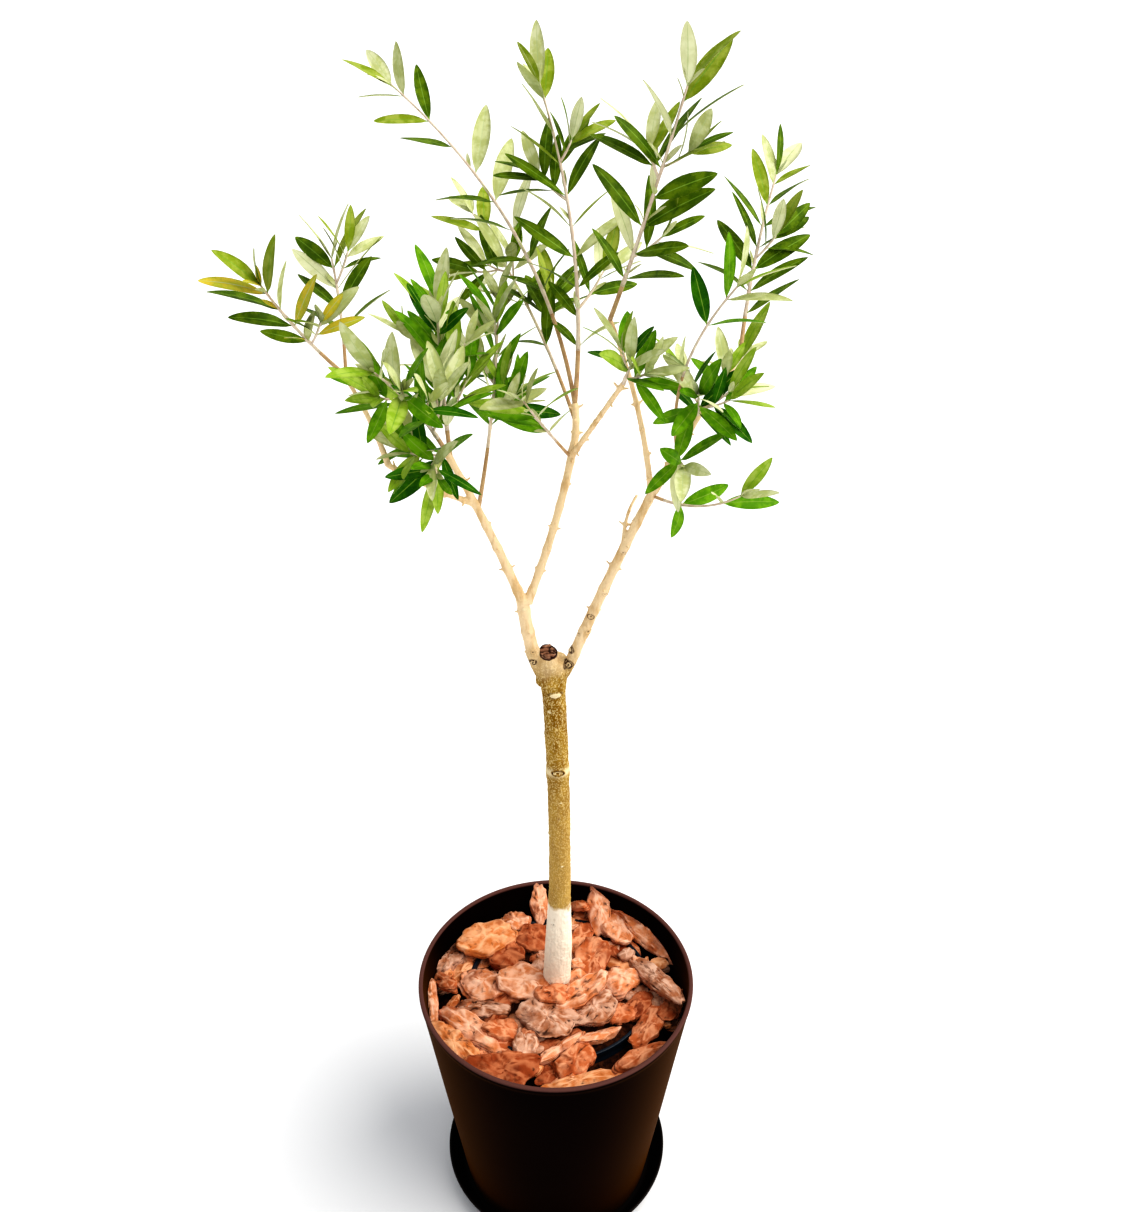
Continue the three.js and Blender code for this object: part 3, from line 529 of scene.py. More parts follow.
def tube_shape(shape, path, radius_at, sides, stations, paint=0):
    """A tube along a path with a low cone at each end."""
    points = []
    for t in stations:
        centre, axis = path(t), heading(path, t)
        first, second = across(axis)
        turns = turns_of(sides)
        r = radius_at(t)
        points.append(centre + r * (np.cos(turns)[:, None] * first + np.sin(turns)[:, None] * second))
    base = len(points) * sides
    end = stations[-1]
    points.append(path(stations[0])[None, :])
    points.append(path(end)[None, :] + heading(path, end) * radius_at(end) * 0.5)
    points = np.concatenate(points)
    shape.add(points, grid_faces(len(stations), sides, ring=True), paint)
    caps = []
    last = (len(stations) - 1) * sides
    for i in range(sides):
        j = (i + 1) % sides
        caps.append((j, i, base))
        caps.append((last + i, last + j, base + 1))
    shape.faces.append(np.array(caps) + shape.count - len(points))
    shape.paint.append(np.full(len(caps), paint))


def turned_shape(shape, profile, x=0, y=0, segments=160, waver=0.0):
    """A profile turned about an upright axis, out of round by waver millimetres."""
    profile = np.array(profile, float)
    turns = turns_of(segments)
    rings = []
    for r, z in profile:
        ripple = 1 + waver * np.sin(3 * turns + z / 40) / max(r, 1)
        rings.append(np.stack([x + r * ripple * np.cos(turns), y + r * ripple * np.sin(turns),
                               np.full(segments, z)], -1))
    shape.add(np.concatenate(rings), grid_faces(len(profile), segments, ring=True))


# Profile corners rounded by short arcs
def rounded(profile, radius, steps=5):
    out = [profile[0]]
    for before, at, after in zip(profile, profile[1:], profile[2:]):
        before, at, after = map(np.array, (before, at, after))
        reach = min(radius, 0.45 * np.linalg.norm(before - at), 0.45 * np.linalg.norm(after - at))
        start, end = at + unit(before - at) * reach, at + unit(after - at) * reach
        for k in range(steps + 1):
            s = k / steps
            out.append(tuple((1 - s) ** 2 * start + 2 * s * (1 - s) * at + s**2 * end))
    out.append(profile[-1])
    return out


# ---- Materials ------------------------------------------------------------------------------


def node_group(name, inputs, outputs):
    tree = bpy.data.node_groups.new(name, "ShaderNodeTree")
    for label, kind, value in inputs:
        socket = tree.interface.new_socket(name=label, in_out="INPUT", socket_type=kind)
        socket.default_value = value
    for label, kind in outputs:
        tree.interface.new_socket(name=label, in_out="OUTPUT", socket_type=kind)
    return tree, tree.nodes.new("NodeGroupInput"), tree.nodes.new("NodeGroupOutput")


# A soft mottle in object space: Mask runs 0 to 1 between Low and High, Height feeds a bump
def build_mottle():
    tree, given, result = node_group(
        "mottle",
        [("Scale", "NodeSocketFloat", 60.0), ("Stretch", "NodeSocketFloat", 1.0),
         ("Low", "NodeSocketFloat", 0.4), ("High", "NodeSocketFloat", 0.6)],
        [("Mask", "NodeSocketFloat"), ("Height", "NodeSocketFloat")],
    )
    place = tree.nodes.new("ShaderNodeTexCoord")
    squeeze = tree.nodes.new("ShaderNodeCombineXYZ")
    squeeze.inputs[0].default_value = 1
    squeeze.inputs[1].default_value = 1
    tree.links.new(given.outputs["Stretch"], squeeze.inputs[2])
    scaled = tree.nodes.new("ShaderNodeVectorMath")
    scaled.operation = "MULTIPLY"
    tree.links.new(place.outputs["Object"], scaled.inputs[0])
    tree.links.new(squeeze.outputs[0], scaled.inputs[1])
    cloud = tree.nodes.new("ShaderNodeTexNoise")
    cloud.inputs["Detail"].default_value = 4.0
    cloud.inputs["Roughness"].default_value = 0.55
    tree.links.new(scaled.outputs[0], cloud.inputs["Vector"])
    tree.links.new(given.outputs["Scale"], cloud.inputs["Scale"])
    spread = tree.nodes.new("ShaderNodeMapRange")
    spread.interpolation_type = "SMOOTHSTEP"
    tree.links.new(cloud.outputs["Fac"], spread.inputs["Value"])
    tree.links.new(given.outputs["Low"], spread.inputs["From Min"])
    tree.links.new(given.outputs["High"], spread.inputs["From Max"])
    tree.links.new(spread.outputs["Result"], result.inputs["Mask"])
    tree.links.new(cloud.outputs["Fac"], result.inputs["Height"])
    return tree


# Round pale dots set at random: Mask is 1 in a dot
def build_dots():
    tree, given, result = node_group(
        "dots",
        [("Scale", "NodeSocketFloat", 300.0), ("Size", "NodeSocketFloat", 0.25)],
        [("Mask", "NodeSocketFloat")],
    )
    place = tree.nodes.new("ShaderNodeTexCoord")
    cells = tree.nodes.new("ShaderNodeTexVoronoi")
    tree.links.new(place.outputs["Object"], cells.inputs["Vector"])
    tree.links.new(given.outputs["Scale"], cells.inputs["Scale"])
    edge = tree.nodes.new("ShaderNodeMapRange")
    edge.interpolation_type = "SMOOTHSTEP"
    edge.inputs["To Min"].default_value = 1
    edge.inputs["To Max"].default_value = 0
    edge.inputs["From Min"].default_value = 0.05
    tree.links.new(cells.outputs["Distance"], edge.inputs["Value"])
    tree.links.new(given.outputs["Size"], edge.inputs["From Max"])
    tree.links.new(edge.outputs["Result"], result.inputs["Mask"])
    return tree


MOTTLE = build_mottle()
DOTS = build_dots()


class Finish:
    """One material being built: a Principled shader and small helpers for its nodes."""

    def __init__(self, name, color, roughness, specular=0.5):
        self.material = bpy.data.materials.new(name)
        self.material.use_nodes = True
        self.tree = self.material.node_tree
        self.shader = self.tree.nodes["Principled BSDF"]
        self.shader.inputs["Roughness"].default_value = roughness
        self.shader.inputs["Specular IOR Level"].default_value = specular
        self.color = color
        self.shader.inputs["Base Color"].default_value = (*color, 1)
        self.last = None
        self.bumped = None

    def link(self, source, target):
        self.tree.links.new(source, target)

    def effect(self, group, **values):
        node = self.tree.nodes.new("ShaderNodeGroup")
        node.node_tree = group
        for label, value in values.items():
            node.inputs[label].default_value = value
        return node

    def mottle(self, scale, low=0.4, high=0.6, stretch=1.0):
        return self.effect(MOTTLE, Scale=scale, Low=low, High=high, Stretch=stretch)

    def position(self):
        place = self.tree.nodes.new("ShaderNodeTexCoord")
        split = self.tree.nodes.new("ShaderNodeSeparateXYZ")
        self.link(place.outputs["Object"], split.inputs[0])
        return split

    def mapped(self, value, low, high, to_low=0.0, to_high=1.0):
        node = self.tree.nodes.new("ShaderNodeMapRange")
        node.interpolation_type = "SMOOTHSTEP"
        self.link(value, node.inputs["Value"])
        node.inputs["From Min"].default_value = low
        node.inputs["From Max"].default_value = high
        node.inputs["To Min"].default_value = to_low
        node.inputs["To Max"].default_value = to_high
        return node.outputs["Result"]

    def maths(self, operation, first, second):
        node = self.tree.nodes.new("ShaderNodeMath")
        node.operation = operation
        for socket, value in zip(node.inputs, (first, second)):
            if isinstance(value, (int, float)):
                socket.default_value = value
            else:
                self.link(value, socket)
        return node.outputs[0]

    def tint(self, color, mask, share=1.0):
        """Lays a colour over the last one; the mix's colour sockets are 6, 7 and output 2."""
        mix = self.tree.nodes.new("ShaderNodeMix")
        mix.data_type = "RGBA"
        if share != 1.0:
            mask = self.maths("MULTIPLY", mask, share)
        self.link(mask, mix.inputs["Factor"])
        if self.last is None:
            mix.inputs[6].default_value = (*self.color, 1)
        else:
            self.link(self.last, mix.inputs[6])
        mix.inputs[7].default_value = (*color, 1)
        self.last = mix.outputs[2]
        self.link(self.last, self.shader.inputs["Base Color"])

    def bump(self, height, strength, distance):
        node = self.tree.nodes.new("ShaderNodeBump")
        node.inputs["Strength"].default_value = strength
        node.inputs["Distance"].default_value = distance
        self.link(height, node.inputs["Height"])
        if self.bumped is not None:
            self.link(self.bumped, node.inputs["Normal"])
        self.bumped = node.outputs["Normal"]
        self.link(self.bumped, self.shader.inputs["Normal"])

    def gloss(self, mask, low, high):
        self.link(self.mapped(mask, 0, 1, low, high), self.shader.inputs["Roughness"])

    def hollow(self):
        node = self.tree.nodes.new("ShaderNodeAttribute")
        node.attribute_name = "hollow"
        return node.outputs["Fac"]

    def proud(self):
        """The other way round: above 0 where a scar has healed or an edge stands out; on the nuggets this
        is a painted highlight on arrises and raised tops, over their paler broken edges.
        """
        return self.maths("MULTIPLY", self.hollow(), -1.0)


LEAF_GLOSS = 0.08


def leaf_finish(name, color, other, roughness):
    finish = Finish(name, color, roughness, LEAF_GLOSS)
    # Painted sheen: pale dapples of the second colour over the leaf
    cloud = finish.mottle(110, 0.40, 0.60)
    finish.tint(other, cloud.outputs["Mask"], 0.8)
    grain = finish.mottle(900, 0.3, 0.7)
    finish.bump(grain.outputs["Height"], 0.25, 0.0003)
    return finish.material


def bark_finish():
    finish = Finish("olive_bark", (0.235, 0.115, 0.002), 0.8, 0.12)
    place = finish.position()
    cloud = finish.mottle(60, 0.42, 0.6, 0.5)
    finish.tint((0.40, 0.245, 0.035), cloud.outputs["Mask"], 0.7)
    # A fine pale net with dots, as on smooth olive bark
    net = finish.mottle(620, 0.50, 0.60, 0.7)
    finish.tint((0.78, 0.62, 0.30), net.outputs["Mask"], 0.58)
    dots = finish.effect(DOTS, Scale=420.0, Size=0.38)
    finish.tint((0.84, 0.70, 0.40), dots.outputs["Mask"], 0.7)
    # The boughs are paler than the stem, and the stem's foot is cream
    wave = finish.mottle(45, 0.3, 0.7)
    height = finish.maths("ADD", place.outputs[2], finish.maths("MULTIPLY", wave.outputs["Height"], 0.03))
    finish.tint((0.62, 0.42, 0.14), finish.mapped(height, *WARM_STEM, 1.0, 0.0), 0.55)
    bough = finish.mapped(height, *PALE_BOUGHS)
    finish.tint((0.88, 0.69, 0.45), bough, 0.9)
    tan = finish.mottle(120, 0.46, 0.66, 0.3)
    finish.tint((0.52, 0.31, 0.10), finish.maths("MULTIPLY", tan.outputs["Mask"], bough), 0.55)
    foot = finish.mapped(height, *PALE_FOOT, 1.0, 0.0)
    finish.tint((0.98, 0.89, 0.74), foot, 0.96)
    # Painted shade darkens the fissures, the knots and scars have their own dark cores and rims, and the
    # wood is cream where a scar has healed
    streak = finish.mottle(160, 0.58, 0.72, 0.3)
    finish.tint((0.33, 0.19, 0.08), streak.outputs["Mask"], 0.30)
    finish.tint((0.86, 0.74, 0.48), finish.mapped(finish.proud(), 0.1, 0.9), 0.9)
    finish.tint((0.06, 0.026, 0.012), finish.mapped(finish.hollow(), 0.12, 0.8))
    finish.bump(finish.mottle(700, 0.3, 0.7, 0.6).outputs["Height"], 0.5, 0.0006)
    finish.bump(net.outputs["Mask"], 0.35, 0.0004)
    return finish.material


def cut_finish():
    """Old end grain, brown and cracked, with painted shade in its cracks."""
    finish = Finish("cut_wood", (0.30, 0.145, 0.085), 0.9, 0.1)
    finish.tint((0.50, 0.30, 0.20), finish.mottle(220, 0.45, 0.62).outputs["Mask"], 0.8)
    # Painted shade in the cracks and round the sunken rim
    finish.tint((0.03, 0.012, 0.008), finish.mapped(finish.hollow(), 0.2, 0.9))
    finish.bump(finish.mottle(900, 0.3, 0.7).outputs["Height"], 0.6, 0.0008)
    return finish.material


def shoot_finish(name, color, other):
    finish = Finish(name, color, 0.75, 0.3)
    cloud = finish.mottle(180, 0.4, 0.65, 0.6)
    finish.tint(other, cloud.outputs["Mask"], 0.7)
    finish.bump(finish.mottle(1200, 0.3, 0.7, 0.5).outputs["Height"], 0.3, 0.0003)
    return finish.material


def plastic_finish(name, color, other, roughness, specular):
    finish = Finish(name, color, roughness, specular)
    cloud = finish.mottle(9, 0.35, 0.7)
    finish.tint(other, cloud.outputs["Mask"], 0.6)
    scuff = finish.mottle(30, 0.45, 0.75)
    finish.gloss(scuff.outputs["Mask"], roughness, roughness + 0.14)
    finish.bump(finish.mottle(1500, 0.3, 0.7).outputs["Height"], 0.12, 0.0002)
    return finish.material


def pot_finish():
    """Near-black plastic with a painted brown reflection where it turns from view, and a painted highlight
    along the lip.
    """
    finish = Finish("pot_plastic", (0.0034, 0.0005, 0.0002), 0.6, 0.008)
    finish.shader.inputs["Specular Tint"].default_value = (1.0, 0.5, 0.2, 1)
    cloud = finish.mottle(9, 0.35, 0.7)
    finish.tint((0.005, 0.001, 0.0005), cloud.outputs["Mask"], 0.6)
    # Painted reflection: the plastic is tinted brown where it turns away from the view
    edge = finish.tree.nodes.new("ShaderNodeLayerWeight")
    finish.tint((0.075, 0.027, 0.003), finish.mapped(edge.outputs["Facing"], 0.50, 1.0), 0.9)
    # Painted highlight: a paler band along the top of the lip
    lip_highlight = finish.mapped(finish.position().outputs[2], POT_TOP * MM - 0.0036, POT_TOP * MM - 0.0006)
    finish.tint((0.140, 0.065, 0.055), lip_highlight, 0.9)
    finish.bump(finish.mottle(1500, 0.3, 0.7).outputs["Height"], 0.12, 0.0002)
    return finish.material


def nugget_finish(name, color, light, dark):
    finish = Finish(name, color, 0.82, 0.15)
    cloud = finish.mottle(70, 0.38, 0.66)
    finish.tint(light, cloud.outputs["Mask"], 0.6)
    patch = finish.mottle(38, 0.5, 0.66)
    finish.tint(dark, patch.outputs["Mask"], 0.55)
    grain = finish.mottle(220, 0.54, 0.70)
    finish.tint(dark, grain.outputs["Mask"], 0.08)
    # Painted highlight on the arrises and raised tops, over the paler colour of broken edges
    finish.tint(light, finish.mapped(finish.proud(), 0.15, 0.95), 0.85)
    # Painted shade in the creases, pits, steps and gaps between sheets
    finish.tint((0.030, 0.006, 0.002), finish.mapped(finish.hollow(), 0.15, 0.95), 0.9)
    finish.bump(finish.mottle(300, 0.3, 0.7).outputs["Height"], 0.4, 0.0008)
    finish.bump(finish.mottle(1400, 0.3, 0.7).outputs["Height"], 0.4, 0.0005)
    return finish.material


def crumb_finish(name, color, other):
    finish = Finish(name, color, 0.95, 0.15)
    cloud = finish.mottle(160, 0.4, 0.65)
    finish.tint(other, cloud.outputs["Mask"], 0.8)
    finish.bump(finish.mottle(500, 0.3, 0.7).outputs["Height"], 0.9, 0.002)
    return finish.material


LEAF_UPPER = [
    leaf_finish("leaf_deep_green", (0.018, 0.110, 0.001), (0.055, 0.200, 0.002), 0.45),
    leaf_finish("leaf_mid_green", (0.092, 0.250, 0.002), (0.190, 0.390, 0.010), 0.48),
    leaf_finish("leaf_bright_green", (0.270, 0.415, 0.030), (0.420, 0.540, 0.110), 0.5),
    leaf_finish("leaf_young_sage", (0.510, 0.550, 0.240), (0.70, 0.72, 0.47), 0.6),
    leaf_finish("leaf_turning_yellow", (0.620, 0.500, 0.055), (0.42, 0.46, 0.05), 0.55),
]
LEAF_UNDER = [
    leaf_finish("leaf_under_sage", (0.460, 0.500, 0.210), (0.62, 0.65, 0.37), 0.75),
    leaf_finish("leaf_under_silver", (0.660, 0.680, 0.400), (0.76, 0.78, 0.52), 0.8),
]
LEAF_OLIVE = [
    leaf_finish("leaf_olive_dark", (0.070, 0.138, 0.002), (0.165, 0.255, 0.008), 0.45),
    leaf_finish("leaf_olive_green", (0.230, 0.310, 0.016), (0.390, 0.450, 0.090), 0.5),
]
LEAF_RIBS = [
    leaf_finish("midrib_green", (0.190, 0.330, 0.035), (0.26, 0.41, 0.07), 0.55),
    leaf_finish("midrib_pale", (0.470, 0.540, 0.260), (0.56, 0.61, 0.34), 0.6),
]
OLIVE_BARK = bark_finish()
CUT_WOOD = cut_finish()
SHOOT_PALE = shoot_finish("shoot_young", (0.72, 0.62, 0.50), (0.55, 0.42, 0.33))
SHOOT_TAN = shoot_finish("shoot_older", (0.55, 0.38, 0.21), (0.40, 0.23, 0.12))
POT_PLASTIC = pot_finish()
SAUCER_PLASTIC = plastic_finish(
    "saucer_plastic", (0.004, 0.0014, 0.001), (0.007, 0.003, 0.002), 0.5, 0.12)
NURSERY_PLASTIC = plastic_finish(
    "nursery_plastic", (0.005, 0.012, 0.022), (0.009, 0.019, 0.032), 0.36, 0.30)
SOIL = crumb_finish("potting_soil", (0.030, 0.018, 0.011), (0.065, 0.036, 0.020))
# Painted shade: the crumbly bed is kept near black, so the gaps between the nuggets read dark
SHADED_MULCH = crumb_finish("shaded_mulch_crumbs", (0.035, 0.010, 0.004), (0.12, 0.035, 0.012))
NUGGETS = [
    nugget_finish("bark_salmon", (0.622, 0.226, 0.088), (0.942, 0.605, 0.439), (0.289, 0.061, 0.015)),
    nugget_finish("bark_terracotta", (0.481, 0.13, 0.04), (0.813, 0.4, 0.227), (0.178, 0.027, 0.006)),
    nugget_finish("bark_red_brown", (0.301, 0.063, 0.016), (0.599, 0.23, 0.106), (0.102, 0.014, 0.004)),
    nugget_finish("bark_orange_brown", (0.582, 0.193, 0.054), (0.92, 0.532, 0.311), (0.255, 0.05, 0.011)),
    nugget_finish("bark_tan", (0.401, 0.159, 0.075), (0.77, 0.508, 0.382), (0.145, 0.036, 0.012)),
]

# ---- Leaves -----------------------------------------------------------------------------------

LEAF_FINISHES = [*LEAF_UPPER, *LEAF_UNDER, *LEAF_RIBS, *LEAF_OLIVE]
(DEEP, MID, BRIGHT, YOUNG, YELLOW, UNDER_SAGE, UNDER_SILVER,
 RIB_GREEN, RIB_PALE, OLIVE_DARK, OLIVE_GREEN) = range(len(LEAF_FINISHES))
YOUTH_STEPS = [(0.86, YOUNG), (0.66, BRIGHT), (0.36, MID)]  # youth above which a leaf has each tone
TURNED_OVER = 0.10  # share of leaves that show their underside

# The open shoots at the top and far out have more olive leaves than the dense masses
OLIVE_MASSES = ["leaves_left_tip", "leaves_left_inner", "leaves_tall_left", "leaves_back_left",
                "leaves_top", "leaves_upper_right", "leaves_far_right"]
OLIVE_TONES = {DEEP: OLIVE_DARK, MID: OLIVE_DARK, BRIGHT: OLIVE_GREEN}
OLIVE_AGE = 0.09  # how much less pale they are than their place on the shoot says

LEAF_STATIONS = [0, 0.04, 0.08, 0.13, 0.2, 0.29, 0.4, 0.52, 0.64, 0.75, 0.85, 0.93, 0.98, 1]
LEAF_COLUMNS = np.array([-1, -0.55, -0.055, 0.055, 0.55, 1])
LEAF_HALF_THICK = 0.22
LEAF_TIP_HALF = 0.12
LEAF_BEND = 0.10  # sideways sweep as a share of the length
LEAF_TWIST = 34  # degrees from the root to the tip
LEAF_ARCH = 0.012
PETIOLE = 0.07  # share of the length
PETIOLE_HALF = 0.55
RIB_STRIP = 2  # the middle strip of faces


def half_width(leaf, share):
    along = np.clip((share - 0.06) / 0.94, 0, 1)
    return leaf["width"] / 2 * np.sin(math.pi * along**0.95) ** 0.65


def leaf_colors(leaf, roll):
    """Material numbers of the upper side and the underside."""
    tone, age = leaf["tone"], leaf["age"]
    youth = 0.55 * age + 0.55 * tone - (OLIVE_AGE if leaf["olive"] else 0)
    upper = next((paint for least, paint in YOUTH_STEPS if youth > least), DEEP)
    if leaf["turning"] and tone > 0.85:
        upper = YELLOW
    under = UNDER_SAGE if roll() < 0.55 else UNDER_SILVER
    return (under, upper) if roll() < TURNED_OVER else (upper, under)


def add_leaf(shape, leaf, number):
    """A folded, curled blade with a midrib, two sides and a rim between them."""
    roll = dice(90000 + number)
    upper, under = leaf_colors(leaf, roll)
    pale = upper >= YOUNG  # a young or turning leaf, or an underside
    if leaf["olive"]:
        upper, under = OLIVE_TONES.get(upper, upper), OLIVE_TONES.get(under, under)
    length, along, face = leaf["length"], leaf["along"], leaf["face"]
    side = np.cross(along, face)
    share = np.array(LEAF_STATIONS)
    half = np.maximum(half_width(leaf, share), np.where(share < 0.12, PETIOLE_HALF, LEAF_TIP_HALF))
    bend = swing(roll, LEAF_BEND) * length
    twist = math.radians(swing(roll, LEAF_TWIST))
    ripple, phase = 0.02 + 0.03 * roll(), roll() * 6
    fold = LEAF_FOLD * (0.4 + 1.6 * roll())
    s, v = np.meshgrid(share, LEAF_COLUMNS, indexing="ij")
    wide = half[:, None] * v
    turn = twist * s
    up = -leaf["curl"] * length * s**2 + LEAF_ARCH * length * np.sin(math.pi * s)
    lift = fold * np.abs(wide) * 2 * smoothstep(s, 0.05, 0.3)
    lift -= 0.10 * np.abs(wide) * smoothstep(np.abs(v), 0.6, 1.0)
    lift += ripple * half[:, None] * np.sin(7 * s + phase) * v * np.abs(v)
    sway = bend * s * (1 - s)
    centre = (leaf["root"] + (s[..., None] * length) * along + up[..., None] * face
              + sway[..., None] * side)
    flat = np.cos(turn)[..., None] * side + np.sin(turn)[..., None] * face
    raised = np.cos(turn)[..., None] * face - np.sin(turn)[..., None] * side
    middle = centre + wide[..., None] * flat + lift[..., None] * raised
    thick = LEAF_HALF_THICK * np.minimum(1, half / 1.2 + 0.6)[:, None] * np.sqrt(1.02 - v**2)
    groove = 0.12 * (np.abs(v) < 0.2) * (s > PETIOLE)
    top = middle + (thick - groove)[..., None] * raised
    low = middle - (thick + 1.6 * groove)[..., None] * raised
    rows, columns = s.shape
    faces = grid_faces(rows, columns)
    strip = np.tile(np.arange(columns - 1), rows - 1)
    row = np.repeat(np.arange(rows - 1), columns - 1)
    rib = (strip == RIB_STRIP) | (row < 2)
    count = rows * columns
    points = np.concatenate([top.reshape(-1, 3), low.reshape(-1, 3)])
    rim = []
    for r in range(rows - 1):
        a, b = r * columns, (r + 1) * columns
        rim.append((b, a, a + count, b + count))
        a, b = a + columns - 1, b + columns - 1
        rim.append((a, b, b + count, a + count))
    tip = (rows - 1) * columns
    for c in range(columns - 1):
        rim.append((c + count, c + 1 + count, c + 1, c)[::-1])
        rim.append((tip + c, tip + c + 1, tip + c + 1 + count, tip + c + count)[::-1])
    paint_top = np.where(rib, RIB_PALE if pale else RIB_GREEN, upper)
    paint_low = np.where(rib, RIB_PALE, under)
    everything = np.concatenate([faces, faces[:, ::-1] + count, np.array(rim)])
    paint = np.concatenate([paint_top, paint_low, np.full(len(rim), under)])
    shape.add(points, everything, paint)


# ---- Shoots ------------------------------------------------------------------------------------

SHOOT_FINISHES = [SHOOT_PALE, SHOOT_TAN]
PALE, TAN = range(len(SHOOT_FINISHES))
SHOOT_SIDES = 10


def add_shoot(shape, shoot):
    """A stem with a slight swelling at each leaf pair, tan where it is bare and pale above."""
    steps = max(8, int(shoot["length"] / 4))
    first, pairs = shoot["first"], shoot["pairs"]
    nodes = [first + (1 - first) * (i + 0.5) / pairs for i in range(pairs)]
    spread = 2.2 / shoot["length"]

    def radius(t):
        plain = (shoot["base"] + (TWIG_TIP - shoot["base"]) * t) / 2
        return plain * (1 + 0.28 * sum(math.exp(-(((t - n) / spread) ** 2)) for n in nodes))

    stations = [k / steps for k in range(steps + 1)]
    split = max(2, int(len(stations) * shoot["bare"]))
    if split >= 3:
        tube_shape(shape, shoot["path"], radius, SHOOT_SIDES, stations[:split + 1], TAN)
    tube_shape(shape, shoot["path"], radius, SHOOT_SIDES, stations[split if split >= 3 else 0:], PALE)


SIDES = {
    "left": ["leaves_left_tip", "leaves_left_inner", "leaves_left_low", "leaves_left_front",
             "leaves_left_middle", "leaves_left_back"],
    "middle": ["leaves_tall_left", "leaves_back_left", "leaves_top", "leaves_middle_low",
               "leaves_middle_right"],
    "right": ["leaves_upper_right", "leaves_far_right", "leaves_right_front", "leaves_right",
              "leaves_right_inner", "leaves_right_spur", "leaves_right_low"],
}


def build_foliage():
    number = 0
    for side, names in SIDES.items():
        leaves, shoots = Shape(), Shape()
        for plan in masses:
            if plan["name"] not in names:
                continue
            for shoot in growth(plan):
                shoot["bare"] = 0.5 * plan["first"] + 0.12 if shoot["base"] == plan["base"] else 0.0
                add_shoot(shoots, shoot)
                for leaf in shoot["leaves"]:
                    leaf["turning"] = plan["turning"]
                    leaf["olive"] = plan["name"] in OLIVE_MASSES
                    add_leaf(leaves, leaf, number)
                    number += 1
        make_piece(f"leaves_{side}", leaves, LEAF_FINISHES, "leaf", names)
        make_piece(f"shoots_{side}", shoots, SHOOT_FINISHES, "bough_bark")


# ---- Trunk and boughs -----------------------------------------------------------------------------

VOXEL = 0.9
LIMB_SIDES = 24
STUB_SIDES = 32
NODE_SWELL = 0.13  # how much thicker a limb is at an old leaf node
RIDGES, GRAIN, FISSURES = 0.55, 0.35, 0.30  # relief of the old bark in millimetres
FISSURE_SHADE = 0.30
FEET = ("bough_left_foot", "bough_right_foot")  # these start thin, inside the stub's swelling
# Marks on the front of the old wood: x and z, half width and half height, and the kind
MARKS = [
    (1, 671, 6.5, 3.6, "healed"), (-5, 651, 2.2, 1.8, "bead"), (3, 578, 5.2, 3.0, "eye"),
    (-2, 371, 2.2, 1.9, "spot"), (13, 719, 4.4, 3.8, "scar"), (13, 703, 4.2, 4.4, "scar"),
    (-20, 717, 2.6, 2.2, "spot"), (-20, 706, 3.4, 3.0, "scar"), (22, 737, 2.2, 2.0, "spot"),
    (31, 740, 2.6, 2.6, "spot"), (33, 757, 2.8, 2.4, "eye"), (45, 781, 2.4, 2.0, "spot"),
    (60, 824, 2.4, 2.2, "spot"), (-27, 764, 2.2, 1.8, "bead"), (-10, 620, 1.5, 1.3, "bead"),
    (6, 540, 1.6, 1.4, "bead"), (-6, 492, 1.5, 1.4, "bead"), (7, 455, 1.7, 1.5, "bead"),
]
RING_Z, RING_HALF = 577, 5.5  # the pale band round the stem at an old node

# Limbs whose old leaf nodes stand out as rings and short spurs
KNOTS = {
    "bough_left_foot": 4, "bough_left": 7, "bough_left_low": 5, "bough_left_outer": 4,
    "bough_middle": 7, "bough_middle_top": 4, "bough_middle_right": 6, "bough_right_foot": 9,
    "bough_right": 5, "bough_right_outer": 4, "bough_right_inner": 7, "twig_right": 4,
}


def add_limb(shape, item):
    length, path = item["length"], item["path"]
    knots = KNOTS.get(item["name"], 0)
    spots = [(k + 0.6) / knots for k in range(knots)] if knots else []
    wide = 3.2 / length

    def radius(t):
        swelling = sum(math.exp(-(((t - s) / wide) ** 2)) for s in spots)
        if item["name"] in FEET:
            start = 0.45 + 0.55 * smoothstep(t * length, 0, 30)
            return item["radius"](t) * start * (1 + NODE_SWELL * swelling)
        collar = 0.35 * math.exp(-t * length / 5) if item["name"] != "trunk" else 0
        return item["radius"](t) * (1 + NODE_SWELL * swelling + collar)

    steps = int(length / 3)
    stations = [k / steps for k in range(steps + 1)]
    tube_shape(shape, path, radius, LIMB_SIDES, stations)
    roll = dice(4000 + sum(map(ord, item["name"])))
    for k, spot in enumerate(spots):
        for s in range(2):
            angle = math.radians(90 * k + 180 * s + swing(roll, 50))
            long = 1.5 + 4.5 * roll() ** 2
            if roll() < 0.45 or item["radius"](spot) > 7.2:
                continue
            axis = heading(path, spot)
            out = unit(outward(axis, angle) + 0.5 * axis)
            base = item["radius"](spot)
            root = path(spot) + outward(axis, angle) * base * 0.6
            spur = arc(root, out * (base * 0.5 + long), (0, 0, 0))
            tube_shape(shape, spur, lambda t: 1.25 - 0.35 * t, 8, [0, 0.3, 0.6, 0.85, 1])


